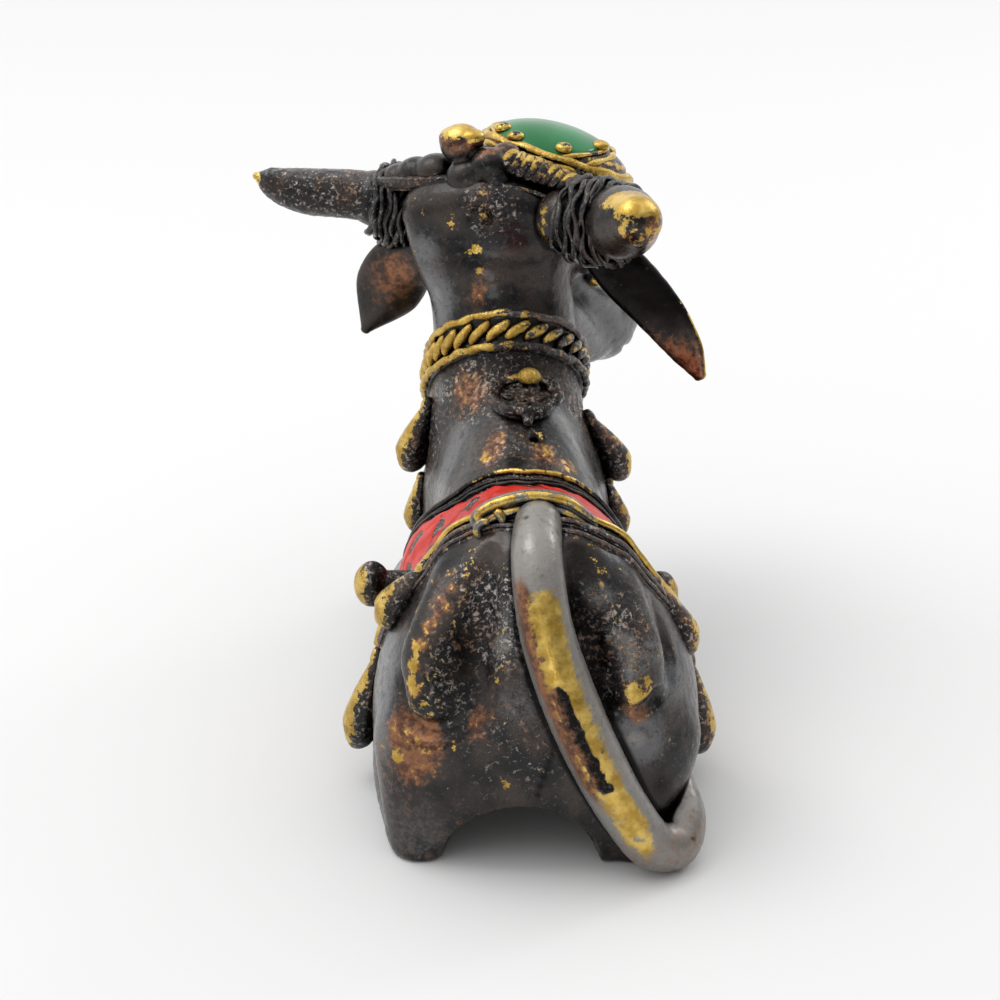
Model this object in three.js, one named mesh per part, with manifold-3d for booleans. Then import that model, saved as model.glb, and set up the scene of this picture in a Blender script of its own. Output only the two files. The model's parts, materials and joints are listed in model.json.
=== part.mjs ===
// A couchant bull, cast in brass as one piece about five centimetres long.
// It lies along Y with its face towards -Y, +X is its left side and +Z is up. It rests on z = 0.
// All lengths are in millimetres. Every mass is a closed skin, and the masses are joined into one solid.

import * as THREE from 'three';
import { mergeVertices } from 'three/addons/utils/BufferGeometryUtils.js';
import Module from 'manifold-3d';

const wasm = await Module();
wasm.setup();

// Driving dimensions of the body
const HAUNCH_HALF_WIDTH = 10.25;
const HAUNCH_LENGTH = 16.0;
const HAUNCH_HEIGHT = 15.0;
const RUMP_TOP = 20.7;
const SADDLE_TOP = 18.6;
const HUMP_TOP = 21.3;
const FRONT_SHIFT = 0.7; // the forequarters lie this far to the bull's left of the rump
const ARCH_HALF_WIDTH = 5.0;
const ARCH_HEIGHT = 4.45;
const ARCH_SHIFT = 1.1;
const ARCH_DEPTH = 12.0;

// Driving dimensions of the head, in its own frame: left, forwards and up from between the horns
const HEAD_CENTRE = new THREE.Vector3(1.9, -13.0, 30.2);
const HEAD_YAW = 33; // degrees, turned to the bull's right
const HEAD_ROLL = 6; // degrees, its left side lower
const HORN_THICKNESS = 1.9; // half of it, where the left horn leaves its wrap
const EAR_WIDTH = 2.4; // half of it, at the middle of the left ear

// Driving dimensions of the trappings and the tail
const CLOTH_LIFT = 0.55; // how far the cloth stands off the hide
const TAIL_RADIUS = 1.55;
const COLLAR_BAND = 2.3;
const COLLAR_PROUD = 0.62; // how far its rims stand off the neck
const ROPE_STROKES = 14;

const UP = new THREE.Vector3(0, 0, 1);
const SIDES_OF_BODY = [1, -1]; // the bull's left, then its right
const degrees = THREE.MathUtils.degToRad;
const vec = (x, y, z) => new THREE.Vector3(x, y, z);

/** The value of a smooth line through evenly spaced values, at t from 0 to 1. */
function along(values, t) {
  if (!Array.isArray(values)) return values;
  const points = values.map((value, i) => vec(i, value, 0));
  const line = new THREE.CatmullRomCurve3(points, false, 'centripetal');
  return line.getPoint(THREE.MathUtils.clamp(t, 0, 1)).y;
}

/** A closed skin over rings of equally many points. Its ends close on their middles, or it closes as a hoop. */
function skin(rings, hoop = false) {
  const sides = rings[0].length;
  if (hoop) rings = [...rings, rings[0]];
  const positions = rings.flat().flatMap((p) => [p.x, p.y, p.z]);
  const index = [];
  for (let i = 0; i + 1 < rings.length; i++) {
    for (let j = 0; j < sides; j++) {
      const a = i * sides + j;
      const b = i * sides + ((j + 1) % sides);
      index.push(a, b, b + sides, a, b + sides, a + sides);
    }
  }
  const closeEnd = (ring, first, flip) => {
    const middle = ring.reduce((sum, p) => sum.add(p), vec(0, 0, 0)).divideScalar(sides);
    const tip = positions.push(middle.x, middle.y, middle.z) / 3 - 1;
    for (let j = 0; j < sides; j++) {
      const pair = [first + j, first + ((j + 1) % sides)];
      if (flip) pair.reverse();
      index.push(pair[1], pair[0], tip);
    }
  };
  if (!hoop) {
    closeEnd(rings[0], 0, false);
    closeEnd(rings.at(-1), (rings.length - 1) * sides, true);
  }
  const geometry = new THREE.BufferGeometry();
  geometry.setAttribute('position', new THREE.Float32BufferAttribute(positions, 3));
  geometry.setIndex(index);
  return geometry;
}

/** Turns a closed geometry into a solid with its faces pointing out. */
function solid(geometry) {
  const bare = geometry.clone();
  bare.deleteAttribute('normal');
  bare.deleteAttribute('uv');
  const merged = mergeVertices(bare, 1e-4);
  const points = merged.getAttribute('position').array;
  const index = [...merged.index.array];
  const faces = [];
  let volume = 0;
  const corner = (i) => vec(points[3 * i], points[3 * i + 1], points[3 * i + 2]);
  for (let i = 0; i < index.length; i += 3) {
    const [a, b, c] = index.slice(i, i + 3);
    if (a === b || b === c || c === a) continue;
    faces.push([a, b, c]);
    volume += corner(a).dot(corner(b).cross(corner(c))) / 6;
  }
  if (volume < 0) faces.forEach((face) => face.reverse());
  const vertProperties = new Float32Array(points);
  const triVerts = new Uint32Array(faces.flat());
  return new wasm.Manifold(new wasm.Mesh({ numProp: 3, vertProperties, triVerts }));
}

/** The geometry of a solid, for rays and for the finished mesh. */
function geometryOf(manifold) {
  const mesh = manifold.getMesh();
  const geometry = new THREE.BufferGeometry();
  geometry.setAttribute('position', new THREE.BufferAttribute(new Float32Array(mesh.vertProperties), 3));
  geometry.setIndex(new THREE.BufferAttribute(new Uint32Array(mesh.triVerts), 1));
  geometry.computeVertexNormals();
  return geometry;
}

/** One solid from many. */
const fuse = (solids) => solids.reduce((whole, piece) => whole.add(piece));

/** A rounded mass along a smooth line: its half width and half depth may change from end to end. */
function limb({ through, wide, deep = wide, steps = 6, sides = 8, up = UP, caps = [72, 38] }) {
  const line = new THREE.CatmullRomCurve3(through, false, 'centripetal');
  const rings = [];
  const addRing = (t, shrink, push) => {
    const tangent = line.getTangent(t);
    const across = tangent.clone().cross(up).normalize();
    const over = across.clone().cross(tangent).normalize();
    const centre = line.getPoint(t).addScaledVector(tangent, push);
    const [halfWidth, halfDepth] = [along(wide, t) * shrink, along(deep, t) * shrink];
    rings.push(
      Array.from({ length: sides }, (_, j) => {
        const angle = (2 * Math.PI * j) / sides;
        return centre
          .clone()
          .addScaledVector(across, halfWidth * Math.cos(angle))
          .addScaledVector(over, halfDepth * Math.sin(angle));
      }),
    );
  };
  const roundEnd = (t, direction, angles) => {
    const reach = Math.min(along(wide, t), along(deep, t));
    for (const angle of angles.map(degrees)) addRing(t, Math.cos(angle), direction * reach * Math.sin(angle));
  };
  roundEnd(0, -1, caps);
  for (let i = 0; i <= steps; i++) addRing(i / steps, 1, 0);
  roundEnd(1, 1, [...caps].reverse());
  return solid(skin(rings));
}

/** An egg or ball, turned about X by tilt degrees and about Z by turn degrees. */
function ball(centre, radii, { tilt = 0, turn = 0, sides = 7, rows = 5 } = {}) {
  const geometry = new THREE.SphereGeometry(1, sides, rows);
  geometry.rotateX(Math.PI / 2);
  geometry.scale(...radii);
  geometry.rotateX(degrees(tilt));
  geometry.rotateZ(degrees(turn));
  geometry.translate(centre.x, centre.y, centre.z);
  return solid(geometry);
}

/** A drop-shaped bell that hangs from its top past its belly, with a lip where it opens. */
function bell(top, belly, radius, sides = 6) {
  const down = belly.clone().sub(top).normalize();
  const bottom = belly.clone().addScaledVector(down, 0.55 * radius);
  const length = top.distanceTo(bottom);
  const profile = [
    [0, 0],
    [0.72, 0.07],
    [1, 0.27],
    [0.74, 0.6],
    [0.28, 1],
    [0, 1],
  ].map(([across, height]) => new THREE.Vector2(across * radius, height * length));
  const geometry = new THREE.LatheGeometry(profile, sides);
  const axis = top.clone().sub(bottom).normalize();
  geometry.applyQuaternion(new THREE.Quaternion().setFromUnitVectors(vec(0, 1, 0), axis));
  geometry.translate(bottom.x, bottom.y, bottom.z);
  return solid(geometry);
}

// The trunk: cross-sections from the rump forwards, wide low down and narrow along the back

const TRUNK = [
  // y, top, half width, shift to the left, narrowing of the top
  [20.6, 6.4, 2.2, 0, 0.1],
  [20.4, 9.0, 4.0, 0, 0.1],
  [19.9, 11.8, 5.8, 0, 0.1],
  [19.1, 14.6, 7.3, 0, 0.14],
  [17.6, 17.6, 8.5, 0, 0.18],
  [15.6, 19.8, 9.1, 0, 0.2],
  [13.0, RUMP_TOP, 9.3, 0, 0.22],
  [9.5, 19.9, 9.0, 0, 0.22],
  [6.0, SADDLE_TOP, 8.4, 0, 0.2],
  [3.0, 18.9, 7.6, 0.2 * FRONT_SHIFT, 0.2],
  [0.0, 20.2, 6.9, 0.4 * FRONT_SHIFT, 0.24],
  [-3.0, HUMP_TOP, 6.5, 0.5 * FRONT_SHIFT, 0.26],
  [-5.6, 21.0, 6.2, 0.5 * FRONT_SHIFT, 0.24],
  [-8.5, 18.8, 6.1, 0.5 * FRONT_SHIFT, 0.18],
  [-12.0, 15.8, 6.0, 0.8 * FRONT_SHIFT, 0.12],
  [-15.2, 12.6, 5.6, FRONT_SHIFT, 0.08],
  [-17.2, 9.6, 4.0, FRONT_SHIFT, 0.05],
  [-18.1, 6.8, 2.4, FRONT_SHIFT, 0],
  [-18.5, 4.6, 1.2, FRONT_SHIFT, 0],
];
const BELLY = -1.2; // the trunk runs this far below the surface and is cut off there
const TRUNK_SIDES = 18;

function trunkRing([y, top, halfWidth, shift, narrowing]) {
  const middle = (top + BELLY) / 2;
  const halfHeight = (top - BELLY) / 2;
  return Array.from({ length: TRUNK_SIDES }, (_, j) => {
    const angle = (2 * Math.PI * j) / TRUNK_SIDES;
    const across = Math.sign(Math.cos(angle)) * Math.abs(Math.cos(angle)) ** 0.86;
    return vec(
      shift + halfWidth * across * (1 - narrowing * Math.sin(angle)),
      y,
      middle + halfHeight * Math.sin(angle),
    );
  });
}

const trunk = solid(skin(TRUNK.map(trunkRing)));

// The hind legs: thigh, the ridge down its back, the hock under the rump, and the shank along the ground

const HOCK_X = { left: 7.2, right: -6.0 };

function hindLeg(side) {
  const hockX = side > 0 ? HOCK_X.left : HOCK_X.right;
  const inward = side > 0 ? 0 : 0.7; // the right ridge lies nearer the tail
  const heel = side > 0 ? 17.6 : 18.2;
  const thighHalf = 4.2;
  const outer = HAUNCH_HALF_WIDTH - (side > 0 ? 0.2 : 0);
  const thigh = ball(
    vec(side * (outer - thighHalf), 11.8, 6.0),
    [thighHalf, HAUNCH_LENGTH / 2, HAUNCH_HEIGHT / 2 + 1.2],
    { tilt: -12, sides: 12, rows: 8 },
  );
  const ridge = limb({
    through: [
      vec(side * 3.9, 12.4, 17.6),
      vec(side * (5.1 - inward), 14.9, 15.9),
      vec(side * (6.3 - inward), 17.1, 13.2),
      vec(side * (6.4 - inward), 18.1, 11.0),
    ],
    wide: [1.7, 1.95, 2.1, 1.9],
    steps: 4,
  });
  const hock = limb({
    through: [vec(side * 7.2, 16.2, 6.8), vec(hockX + side * 0.2, heel - 0.3, 3.4), vec(hockX, heel, 0.4)],
    wide: [2.8, 2.2, 1.9],
    deep: [2.8, 2.2, 1.9],
    steps: 3,
  });
  const shank = limb({
    through: [
      vec(hockX + side * 0.5, 17.0, 1.3),
      vec(side * 8.6, 11.0, 1.2),
      vec(side * 8.8, 4.4, 1.3),
      vec(side * 8.7, 1.6, 0.8),
    ],
    wide: [1.7, 1.5, 1.4, 1.7],
    deep: [1.8, 1.6, 1.7, 1.3],
    sides: 6,
    steps: 5,
    caps: [45],
  });
  return fuse([thigh, ridge, hock, shank]);
}

// The forelegs: shoulder, forearm to the knee in front, and the shank folded back under it

function foreleg(side) {
  const middle = FRONT_SHIFT;
  const shoulder = ball(
    vec(0.5 * middle + side * 3.9, -7.2, 10.4),
    [2.3, 4.4, 6.0],
    { tilt: 22, sides: 8, rows: 6 },
  );
  const forearm = limb({
    through: [
      vec(middle + side * 6.0, -5.0, 5.6),
      vec(middle + side * 6.3, -11.0, 3.8),
      vec(middle + side * 5.4, -16.0, 2.9),
      vec(middle + side * 5.0, -18.0, 2.6),
    ],
    wide: [2.3, 2.0, 1.8, 2.1],
    deep: [3.0, 2.3, 2.1, 2.4],
    steps: 5,
  });
  const shank = limb({
    through: [
      vec(middle + side * 4.4, -17.4, 1.1),
      vec(middle + side * 6.8, -11.0, 0.9),
      vec(middle + side * 7.4, -6.4, 0.9),
    ],
    wide: [1.4, 1.3, 1.5],
    sides: 6,
    steps: 4,
    caps: [45],
  });
  return fuse([shoulder, forearm, shank]);
}

// The neck: deep from nape to dewlap, bending to the left before the head turns right

const NECK = {
  through: [
    vec(0.7, -7.0, 13.6),
    vec(1.0, -10.2, 18.0),
    vec(0.9, -11.8, 21.6),
    vec(1.2, -12.6, 25.2),
    vec(1.7, -12.4, 28.6),
    vec(1.9, -12.0, 31.2),
  ],
  wide: [5.6, 5.2, 4.9, 4.8, 5.5, 5.9],
  deep: [6.6, 6.4, 5.8, 4.9, 4.0, 2.8],
};
const neck = limb({ ...NECK, steps: 7, sides: 12, up: vec(0, -1, 0.2).normalize() });
const dewlap = limb({
  through: [vec(0.8, -15.4, 14.4), vec(0.8, -16.6, 11.0), vec(0.7, -16.8, 6.6)],
  wide: [1.2, 1.2, 1.5],
  deep: [2.4, 2.2, 1.4],
  steps: 3,
  sides: 6,
  caps: [50],
  up: vec(0, -1, 0),
});

// The head, in its own frame: left, forwards and up from the point between the horns

const headTurn = new THREE.Quaternion()
  .setFromAxisAngle(UP, degrees(-HEAD_YAW))
  .multiply(new THREE.Quaternion().setFromAxisAngle(vec(0, 1, 0), degrees(HEAD_ROLL)));

/** A place on the head: left, forwards and up of its centre. */
const onHead = (left, forwards, up) => vec(left, -forwards, up).applyQuaternion(headTurn).add(HEAD_CENTRE);
const headUp = vec(0, 0, 1).applyQuaternion(headTurn);

function skull() {
  const face = limb({
    through: [
      onHead(0, -0.6, 0.1),
      onHead(0, 2.4, -0.6),
      onHead(0, 5.6, -2.0),
      onHead(0, 8.6, -4.8),
      onHead(0.1, 10.3, -8.0),
      onHead(0.2, 11.5, -10.7),
    ],
    wide: [5.2, 5.8, 5.5, 4.4, 3.2, 2.8],
    deep: [3.0, 4.2, 4.8, 4.2, 3.2, 2.6],
    steps: 7,
    sides: 12,
    up: headUp,
  });
  const muzzle = limb({
    through: [onHead(0.2, 11.3, -9.9), onHead(0.2, 12.6, -11.8)],
    wide: [2.7, 3.0],
    deep: [2.6, 2.6],
    steps: 2,
    sides: 8,
    up: headUp,
  });
  const jaw = limb({
    through: [onHead(0, 1.8, -6.0), onHead(0, 6.4, -9.2), onHead(0.1, 10.3, -12.4)],
    wide: [3.6, 2.8, 2.1],
    deep: [2.2, 1.9, 1.5],
    steps: 4,
    up: headUp,
  });
  return [face, muzzle, jaw];
}

function eyes() {
  return SIDES_OF_BODY.flatMap((side) => [
    ball(onHead(side * 4.3, 7.4, -4.2), [1.0, 1.3, 0.9], { turn: -HEAD_YAW, tilt: 30 }),
    limb({
      through: [onHead(side * 5.2, 5.0, -2.6), onHead(side * 4.8, 7.4, -2.7), onHead(side * 3.4, 9.0, -4.0)],
      wide: 0.6,
      steps: 3,
      sides: 5,
      caps: [45],
    }),
  ]);
}

function nostrils() {
  return SIDES_OF_BODY.map((side) =>
    ball(onHead(0.2 + side * 1.6, 14.7, -11.0), [0.7, 0.9, 0.5], {
      turn: -HEAD_YAW,
      tilt: 40,
      sides: 6,
      rows: 4,
    }),
  );
}

// Horns swept back from the sides of the head, each wrapped at its root by a curled band

const HORN_ROOTS = { left: onHead(6.2, -0.2, 0.3), right: onHead(-6.2, -0.6, 0.6) };
const HORN_LINES = {
  left: [HORN_ROOTS.left, vec(10.6, -16.9, 30.5), vec(14.2, -17.3, 30.7), vec(17.4, -17.5, 31.65)],
  right: [HORN_ROOTS.right, vec(-5.5, -7.6, 31.7), vec(-6.5, -4.8, 32.7), vec(-7.0, -2.9, 33.5)],
};

/** The left horn runs out to a point, the right one ends in a blunt knob. */
function horn(name) {
  const left = name === 'left';
  return limb({
    through: HORN_LINES[name],
    wide: (left ? [1, 0.95, 0.8, 0.16] : [1.1, 1.2, 1.2, 0.85]).map((share) => share * HORN_THICKNESS),
    deep: (left ? [0.88, 0.88, 0.82, 0.2] : [1.1, 1.2, 1.25, 0.85]).map((share) => share * HORN_THICKNESS),
    steps: 5,
    sides: 8,
    caps: [50],
  });
}

function hornWrap(name) {
  const line = new THREE.CatmullRomCurve3(HORN_LINES[name], false, 'centripetal');
  const [place, first, last] = name === 'left' ? [0.03, -1.7, 1.7] : [0.33, -2.8, 1.5];
  const root = line.getPoint(place);
  const direction = line.getTangent(0.1);
  return limb({
    through: [root.clone().addScaledVector(direction, first), root.clone().addScaledVector(direction, last)],
    wide: [2.3, 3.0, 2.5, 3.05, 2.5, 3.0, 2.2],
    deep: [2.4, 3.2, 2.7, 3.25, 2.7, 3.1, 2.2],
    steps: 6,
    sides: 8,
    caps: [60],
  });
}

// Ears hanging as leaves below the horns

const EARS = {
  left: {
    through: [vec(6.4, -14.6, 27.4), vec(7.9, -16.0, 25.6), vec(8.9, -16.4, 23.6), vec(10.4, -16.4, 20.9)],
    wide: [0.54, 0.97, 0.97, 0.16],
    deep: [0.9, 0.8, 0.65, 0.32],
    up: vec(0, 1, 0.1),
  },
  right: {
    through: [vec(-4.6, -10.2, 29.6), vec(-6.9, -8.9, 27.6), vec(-9.4, -7.4, 25.1), vec(-11.6, -5.75, 21.8)],
    wide: [0.54, 0.77, 0.7, 0.22],
    deep: [1.0, 0.9, 0.75, 0.35],
    up: vec(0.45, 0.8, 0.4),
  },
};

function ear(name) {
  const { through, wide, deep, up } = EARS[name];
  return limb({
    through,
    wide: wide.map((share) => share * EAR_WIDTH),
    deep,
    steps: 4,
    sides: 6,
    caps: [45],
    up,
  });
}

// The crest between the horns: a strap, buds, a rope to the right horn, and the enamelled cap in front

function crest() {
  const strap = limb({
    through: [vec(9.4, -15.4, 31.9), vec(7.4, -13.0, 32.7), vec(4.6, -11.2, 33.4)],
    wide: 0.6,
    deep: 0.4,
    steps: 3,
    sides: 6,
    caps: [45],
  });
  const buds = [
    [vec(3.8, -12.0, 35.8), 1.5],
    [vec(1.9, -10.8, 34.6), 1.4],
    [vec(3.4, -11.0, 33.7), 1.45],
    [vec(5.5, -13.1, 33.5), 1.45],
    [vec(7.0, -14.2, 32.9), 1.35],
  ].map(([centre, radius]) => ball(centre, [radius, radius, radius], { rows: 5 }));
  const twists = 4;
  const rope = limb({
    through: [vec(0.9, -10.8, 34.8), vec(-2.1, -10.4, 33.7), vec(-4.9, -9.4, 32.4)],
    wide: Array.from({ length: 2 * twists + 1 }, (_, i) => (i % 2 ? 1.05 : 0.8)),
    steps: 2 * twists,
    sides: 5,
    caps: [45],
  });
  return [strap, ...buds, rope];
}

// The cap's disc leans down to the bull's right and forwards. Right, forwards and up are its own directions.
const CAP = { centre: vec(-2.55, -15.5, 33.05), halfWidth: 5.2, halfLength: 4.7, domeHeight: 2.6 };
const CAP_RIGHT = vec(-0.945, 0, -0.326).normalize();
const CAP_UP = CAP_RIGHT.clone().cross(vec(0, -0.963, -0.27)).normalize();
const CAP_FORWARDS = CAP_UP.clone().cross(CAP_RIGHT);

/** The domed cap of enamel: across is a share of its radius, up is a height over its rim. */
function cap() {
  const profile = [
    [0.5, -4.6],
    [0.84, -1.8],
    [1.05, -0.2],
    [1.06, 0.5],
    [0.94, 0.95],
    [0.66, 0.75 * CAP.domeHeight],
    [0.34, 0.95 * CAP.domeHeight],
  ];
  const count = 12;
  const place = (right, forwards, up) =>
    CAP.centre
      .clone()
      .addScaledVector(CAP_RIGHT, right)
      .addScaledVector(CAP_FORWARDS, forwards)
      .addScaledVector(CAP_UP, up);
  const rings = profile.map(([across, up]) =>
    Array.from({ length: count }, (_, j) => {
      const angle = (2 * Math.PI * j) / count;
      return place(CAP.halfWidth * across * Math.cos(angle), CAP.halfLength * across * Math.sin(angle), up);
    }),
  );
  const top = place(0, 0, CAP.domeHeight);
  rings.push(rings.at(-1).map((p) => p.clone().lerp(top, 0.9)));
  return solid(skin(rings));
}

// What lies on the hide is placed by rays from outside, so that it follows the masses under it

const flank = ball(vec(4.7, 4.2, 11.4), [3.6, 5.2, 4.8], { sides: 8, rows: 4 });
const bareBody = fuse([trunk, flank, ...SIDES_OF_BODY.map(hindLeg), ...SIDES_OF_BODY.map(foreleg), neck]);
const hide = new THREE.MeshStandardMaterial({ side: THREE.DoubleSide });
const bareMesh = new THREE.Mesh(geometryOf(bareBody), hide);
const caster = new THREE.Raycaster();

/** The outermost point of the body from a centre along a direction, lifted off the hide. */
function onHide(centre, direction, lift = 0) {
  const out = direction.clone().normalize();
  const far = 40;
  caster.set(centre.clone().addScaledVector(out, far), out.clone().negate());
  const hit = caster.intersectObject(bareMesh)[0];
  return centre.clone().addScaledVector(out, far - hit.distance + lift);
}

/** A bell on the flank or shoulder: its top and its mouth stand off the hide by a share of its radius. */
function hangingBell(side, y, top, bottom, radius, proud = 0.45) {
  const from = side > 0 ? 0 : FRONT_SHIFT;
  const topPoint = onHide(vec(from, y, top), vec(side, 0, 0), 0.1 * radius);
  const mouth = onHide(vec(from, y, bottom), vec(side, 0, 0), proud * radius);
  return bell(topPoint, mouth, radius);
}

// The cloth over the back: fall 0 is the spine and 1 the hem, share 0 the front edge and 1 the rear edge

const CLOTH_CENTRE_Z = 9.5;
const CLOTH_REAR = { left: [13.9, 12.6, 11.9, 11.4, 11.0], right: [13.9, 13.6, 12.9, 12.0, 11.0] };
const CLOTH_FRONT = { left: [3.8, 3.0, 2.0, 1.2, 0.6], right: [3.8, 3.5, 3.0, 2.2, 1.2] };

function clothPoint(side, fall, share, lift) {
  const hemAngle = 86 + 16 * Math.sin(Math.PI * share);
  const name = side > 0 ? 'left' : 'right';
  const y = THREE.MathUtils.lerp(along(CLOTH_FRONT[name], fall), along(CLOTH_REAR[name], fall), share);
  const angle = degrees(hemAngle * fall) * side;
  return onHide(vec(0, y, CLOTH_CENTRE_Z), vec(Math.sin(angle), 0, Math.cos(angle)), lift);
}

/** The cloth as one skin: flat, with a raised rim along each edge and a second border behind the rear one. */
function cloth() {
  const across = 14;
  const rows = [
    [-0.03, -0.9],
    [-0.03, CLOTH_LIFT + 0.15],
    [0.05, CLOTH_LIFT + 0.15],
    [0.08, CLOTH_LIFT - 0.15],
    [0.5, CLOTH_LIFT - 0.1],
    [0.92, CLOTH_LIFT - 0.15],
    [0.95, CLOTH_LIFT + 0.25],
    [1.02, CLOTH_LIFT + 0.15],
    [1.03, 0.25],
    [1.12, 0.2],
    [1.12, -0.9],
  ];
  const rings = [];
  for (let i = 0; i <= across; i++) {
    const fall = (2 * i) / across - 1;
    const side = fall < 0 ? -1 : 1;
    const edge = i === 0 || i === across;
    const ring = rows.map(([share, lift]) => {
      return clothPoint(side, Math.abs(fall), share, edge ? Math.min(lift, 0.3) : lift);
    });
    rings.push(ring);
  }
  return solid(skin(rings));
}

/** The curled lobe of the rear border over the tail root. */
function tailScroll() {
  return limb({
    through: [
      vec(3.2, 13.6, 19.8),
      vec(3.5, 13.3, 20.3),
      vec(2.8, 13.1, 20.8),
      vec(-0.1, 13.1, 21.4),
      vec(-2.2, 13.1, 20.8),
      vec(-3.6, 13.1, 19.8),
    ],
    wide: [0.5, 0.6, 0.65, 0.75, 0.65, 0.4],
    steps: 7,
    sides: 5,
    caps: [45],
  });
}

// Tassels and bells that hang from the cloth

function clothBells() {
  const leftBoss = vec(10.0, 8.4, 13.7);
  const leftRoot = onHide(vec(0, 8.4, 13.5), vec(1, 0, 0), -0.6);
  return [
    hangingBell(1, 11.6, 16.6, 13.0, 1.45, 0.3),
    hangingBell(-1, 12.0, 15.6, 10.9, 1.45, -0.1),
    hangingBell(1, 8.6, 9.2, 2.8, 1.3, 1.25),
    hangingBell(-1, 8.6, 8.6, 2.0, 1.3, 0.55),
    ...SIDES_OF_BODY.map((side) => hangingBell(side, 3.6, 9.4, 4.2, 1.25)),
    ball(leftBoss, [1.2, 1.25, 1.55], { rows: 5 }),
    limb({ through: [leftRoot, leftBoss], wide: [1.1, 0.9], steps: 1, sides: 6, caps: [45] }),
    ball(onHide(vec(FRONT_SHIFT, 7.0, 12.0), vec(-1, 0, 0), 0.2), [1.2, 1.25, 1.55], { rows: 5 }),
  ];
}

// The collar: two rims round the neck with a twisted rope between them

const COLLAR_CENTRE = vec(0.95, -11.6, 19.6);
const COLLAR_TILT = 46; // degrees that its plane falls towards the chest

/** A point of the collar: 0 degrees is the nape, 90 the bull's left; slide moves up the neck. */
function collarPoint(angle, slide, lift) {
  const back = vec(0, Math.cos(degrees(COLLAR_TILT)), Math.sin(degrees(COLLAR_TILT)));
  const axis = vec(0, -Math.sin(degrees(COLLAR_TILT)), Math.cos(degrees(COLLAR_TILT)));
  const out = back.multiplyScalar(Math.cos(angle)).add(vec(Math.sin(angle), 0, 0));
  return onHide(COLLAR_CENTRE.clone().addScaledVector(axis, slide), out, lift);
}

/** One skin round the neck: a rim above, a rim below, and between them a rope whose strokes lean. */
function collar() {
  const sectionsPerStroke = 3;
  const count = ROPE_STROKES * sectionsPerStroke;
  const half = COLLAR_BAND / 2;
  const rings = Array.from({ length: count }, (_, i) => {
    const angle = (2 * Math.PI * i) / count;
    const onGroove = (shift) => (i + shift + sectionsPerStroke) % sectionsPerStroke === 0;
    const raised = (shift) => (onGroove(shift) ? 0.1 : COLLAR_PROUD);
    return [
      collarPoint(angle, -half, -0.7),
      collarPoint(angle, -half, COLLAR_PROUD),
      collarPoint(angle, -0.45, raised(0)),
      collarPoint(angle, 0.45, raised(-1)),
      collarPoint(angle, half, COLLAR_PROUD),
      collarPoint(angle, half, -0.7),
    ];
  });
  return solid(skin(rings, true));
}

function neckBells() {
  const chest = onHide(vec(FRONT_SHIFT, -10, 10.6), vec(0, -1, 0), 0.7);
  return [
    hangingBell(1, -8.6, 18.9, 14.4, 1.3, 0.9),
    hangingBell(-1, -8.6, 17.8, 13.5, 1.3, 1.0),
    hangingBell(1, -7.6, 13.9, 10.2, 1.05, 0.3),
    hangingBell(-1, -7.6, 13.4, 9.6, 1.05, 0.5),
    hangingBell(1, -13.2, 13.6, 9.2, 1.15),
    hangingBell(-1, -13.2, 13.6, 9.2, 1.15),
    bell(vec(FRONT_SHIFT, chest.y + 0.3, 12.8), vec(FRONT_SHIFT, chest.y - 0.3, 8.4), 1.4),
  ];
}

/** The flower on the hump: a scrolled ring of petals round a knob. */
function rosette() {
  const petals = 8;
  const count = 2 * petals;
  const centre = onHide(vec(0.15, -4.0, 10), vec(0, 0.05, 1));
  const lean = new THREE.Quaternion().setFromAxisAngle(vec(1, 0, 0), degrees(-9));
  const profile = [
    [1.7, -0.8],
    [2.1, 0.1],
    [1.8, 0.6],
    [1.1, 0.3],
    [0.8, 0.9],
    [0.35, 1.25],
  ];
  const rings = profile.map(([reach, up]) =>
    Array.from({ length: count }, (_, j) => {
      const scallop = reach > 1 && j % 2 ? 0.8 : 1;
      const angle = (2 * Math.PI * j) / count;
      return vec(reach * scallop * Math.cos(angle), 0.94 * reach * scallop * Math.sin(angle), up)
        .applyQuaternion(lean)
        .add(centre);
    }),
  );
  return solid(skin(rings));
}

// The tail: out from under the cloth, down the rump to the bull's right and round the right hock

function tail() {
  return limb({
    through: [
      vec(-0.1, 13.8, 20.3),
      vec(0.1, 17.0, 19.3),
      vec(-0.4, 19.4, 15.8),
      vec(-1.65, 20.5, 12.0),
      vec(-3.3, 21.1, 8.1),
      vec(-5.2, 21.3, 4.4),
      vec(-6.9, 21.0, 2.0),
      vec(-8.25, 20.1, 1.55),
      vec(-8.9, 18.6, 2.5),
      vec(-8.8, 16.8, 3.9),
    ],
    wide: [1, 1.05, 1.08, 1.12, 1.1, 1.04, 1, 1, 0.9, 0.62].map((share) => share * TAIL_RADIUS),
    steps: 12,
    sides: 6,
    up: vec(-0.4, 1, 0.3).normalize(),
  });
}

// The arch under the rump between the hocks, which fades out under the belly

function arch() {
  const rings = [];
  const steps = 4;
  for (let i = 0; i <= steps; i++) {
    const depth = i / steps;
    const size = Math.cos(depth * degrees(84));
    const y = 22 - depth * (ARCH_DEPTH + 2);
    rings.push(
      Array.from({ length: 16 }, (_, j) => {
        const angle = (2 * Math.PI * j) / 16;
        const across = ARCH_HALF_WIDTH * size * Math.cos(angle);
        return vec(ARCH_SHIFT + across, y, ARCH_HEIGHT * size * Math.sin(angle));
      }),
    );
  }
  return solid(skin(rings));
}

function ground() {
  const box = new THREE.BoxGeometry(80, 80, 20);
  box.translate(0, 0, -10);
  return solid(box);
}

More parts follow.
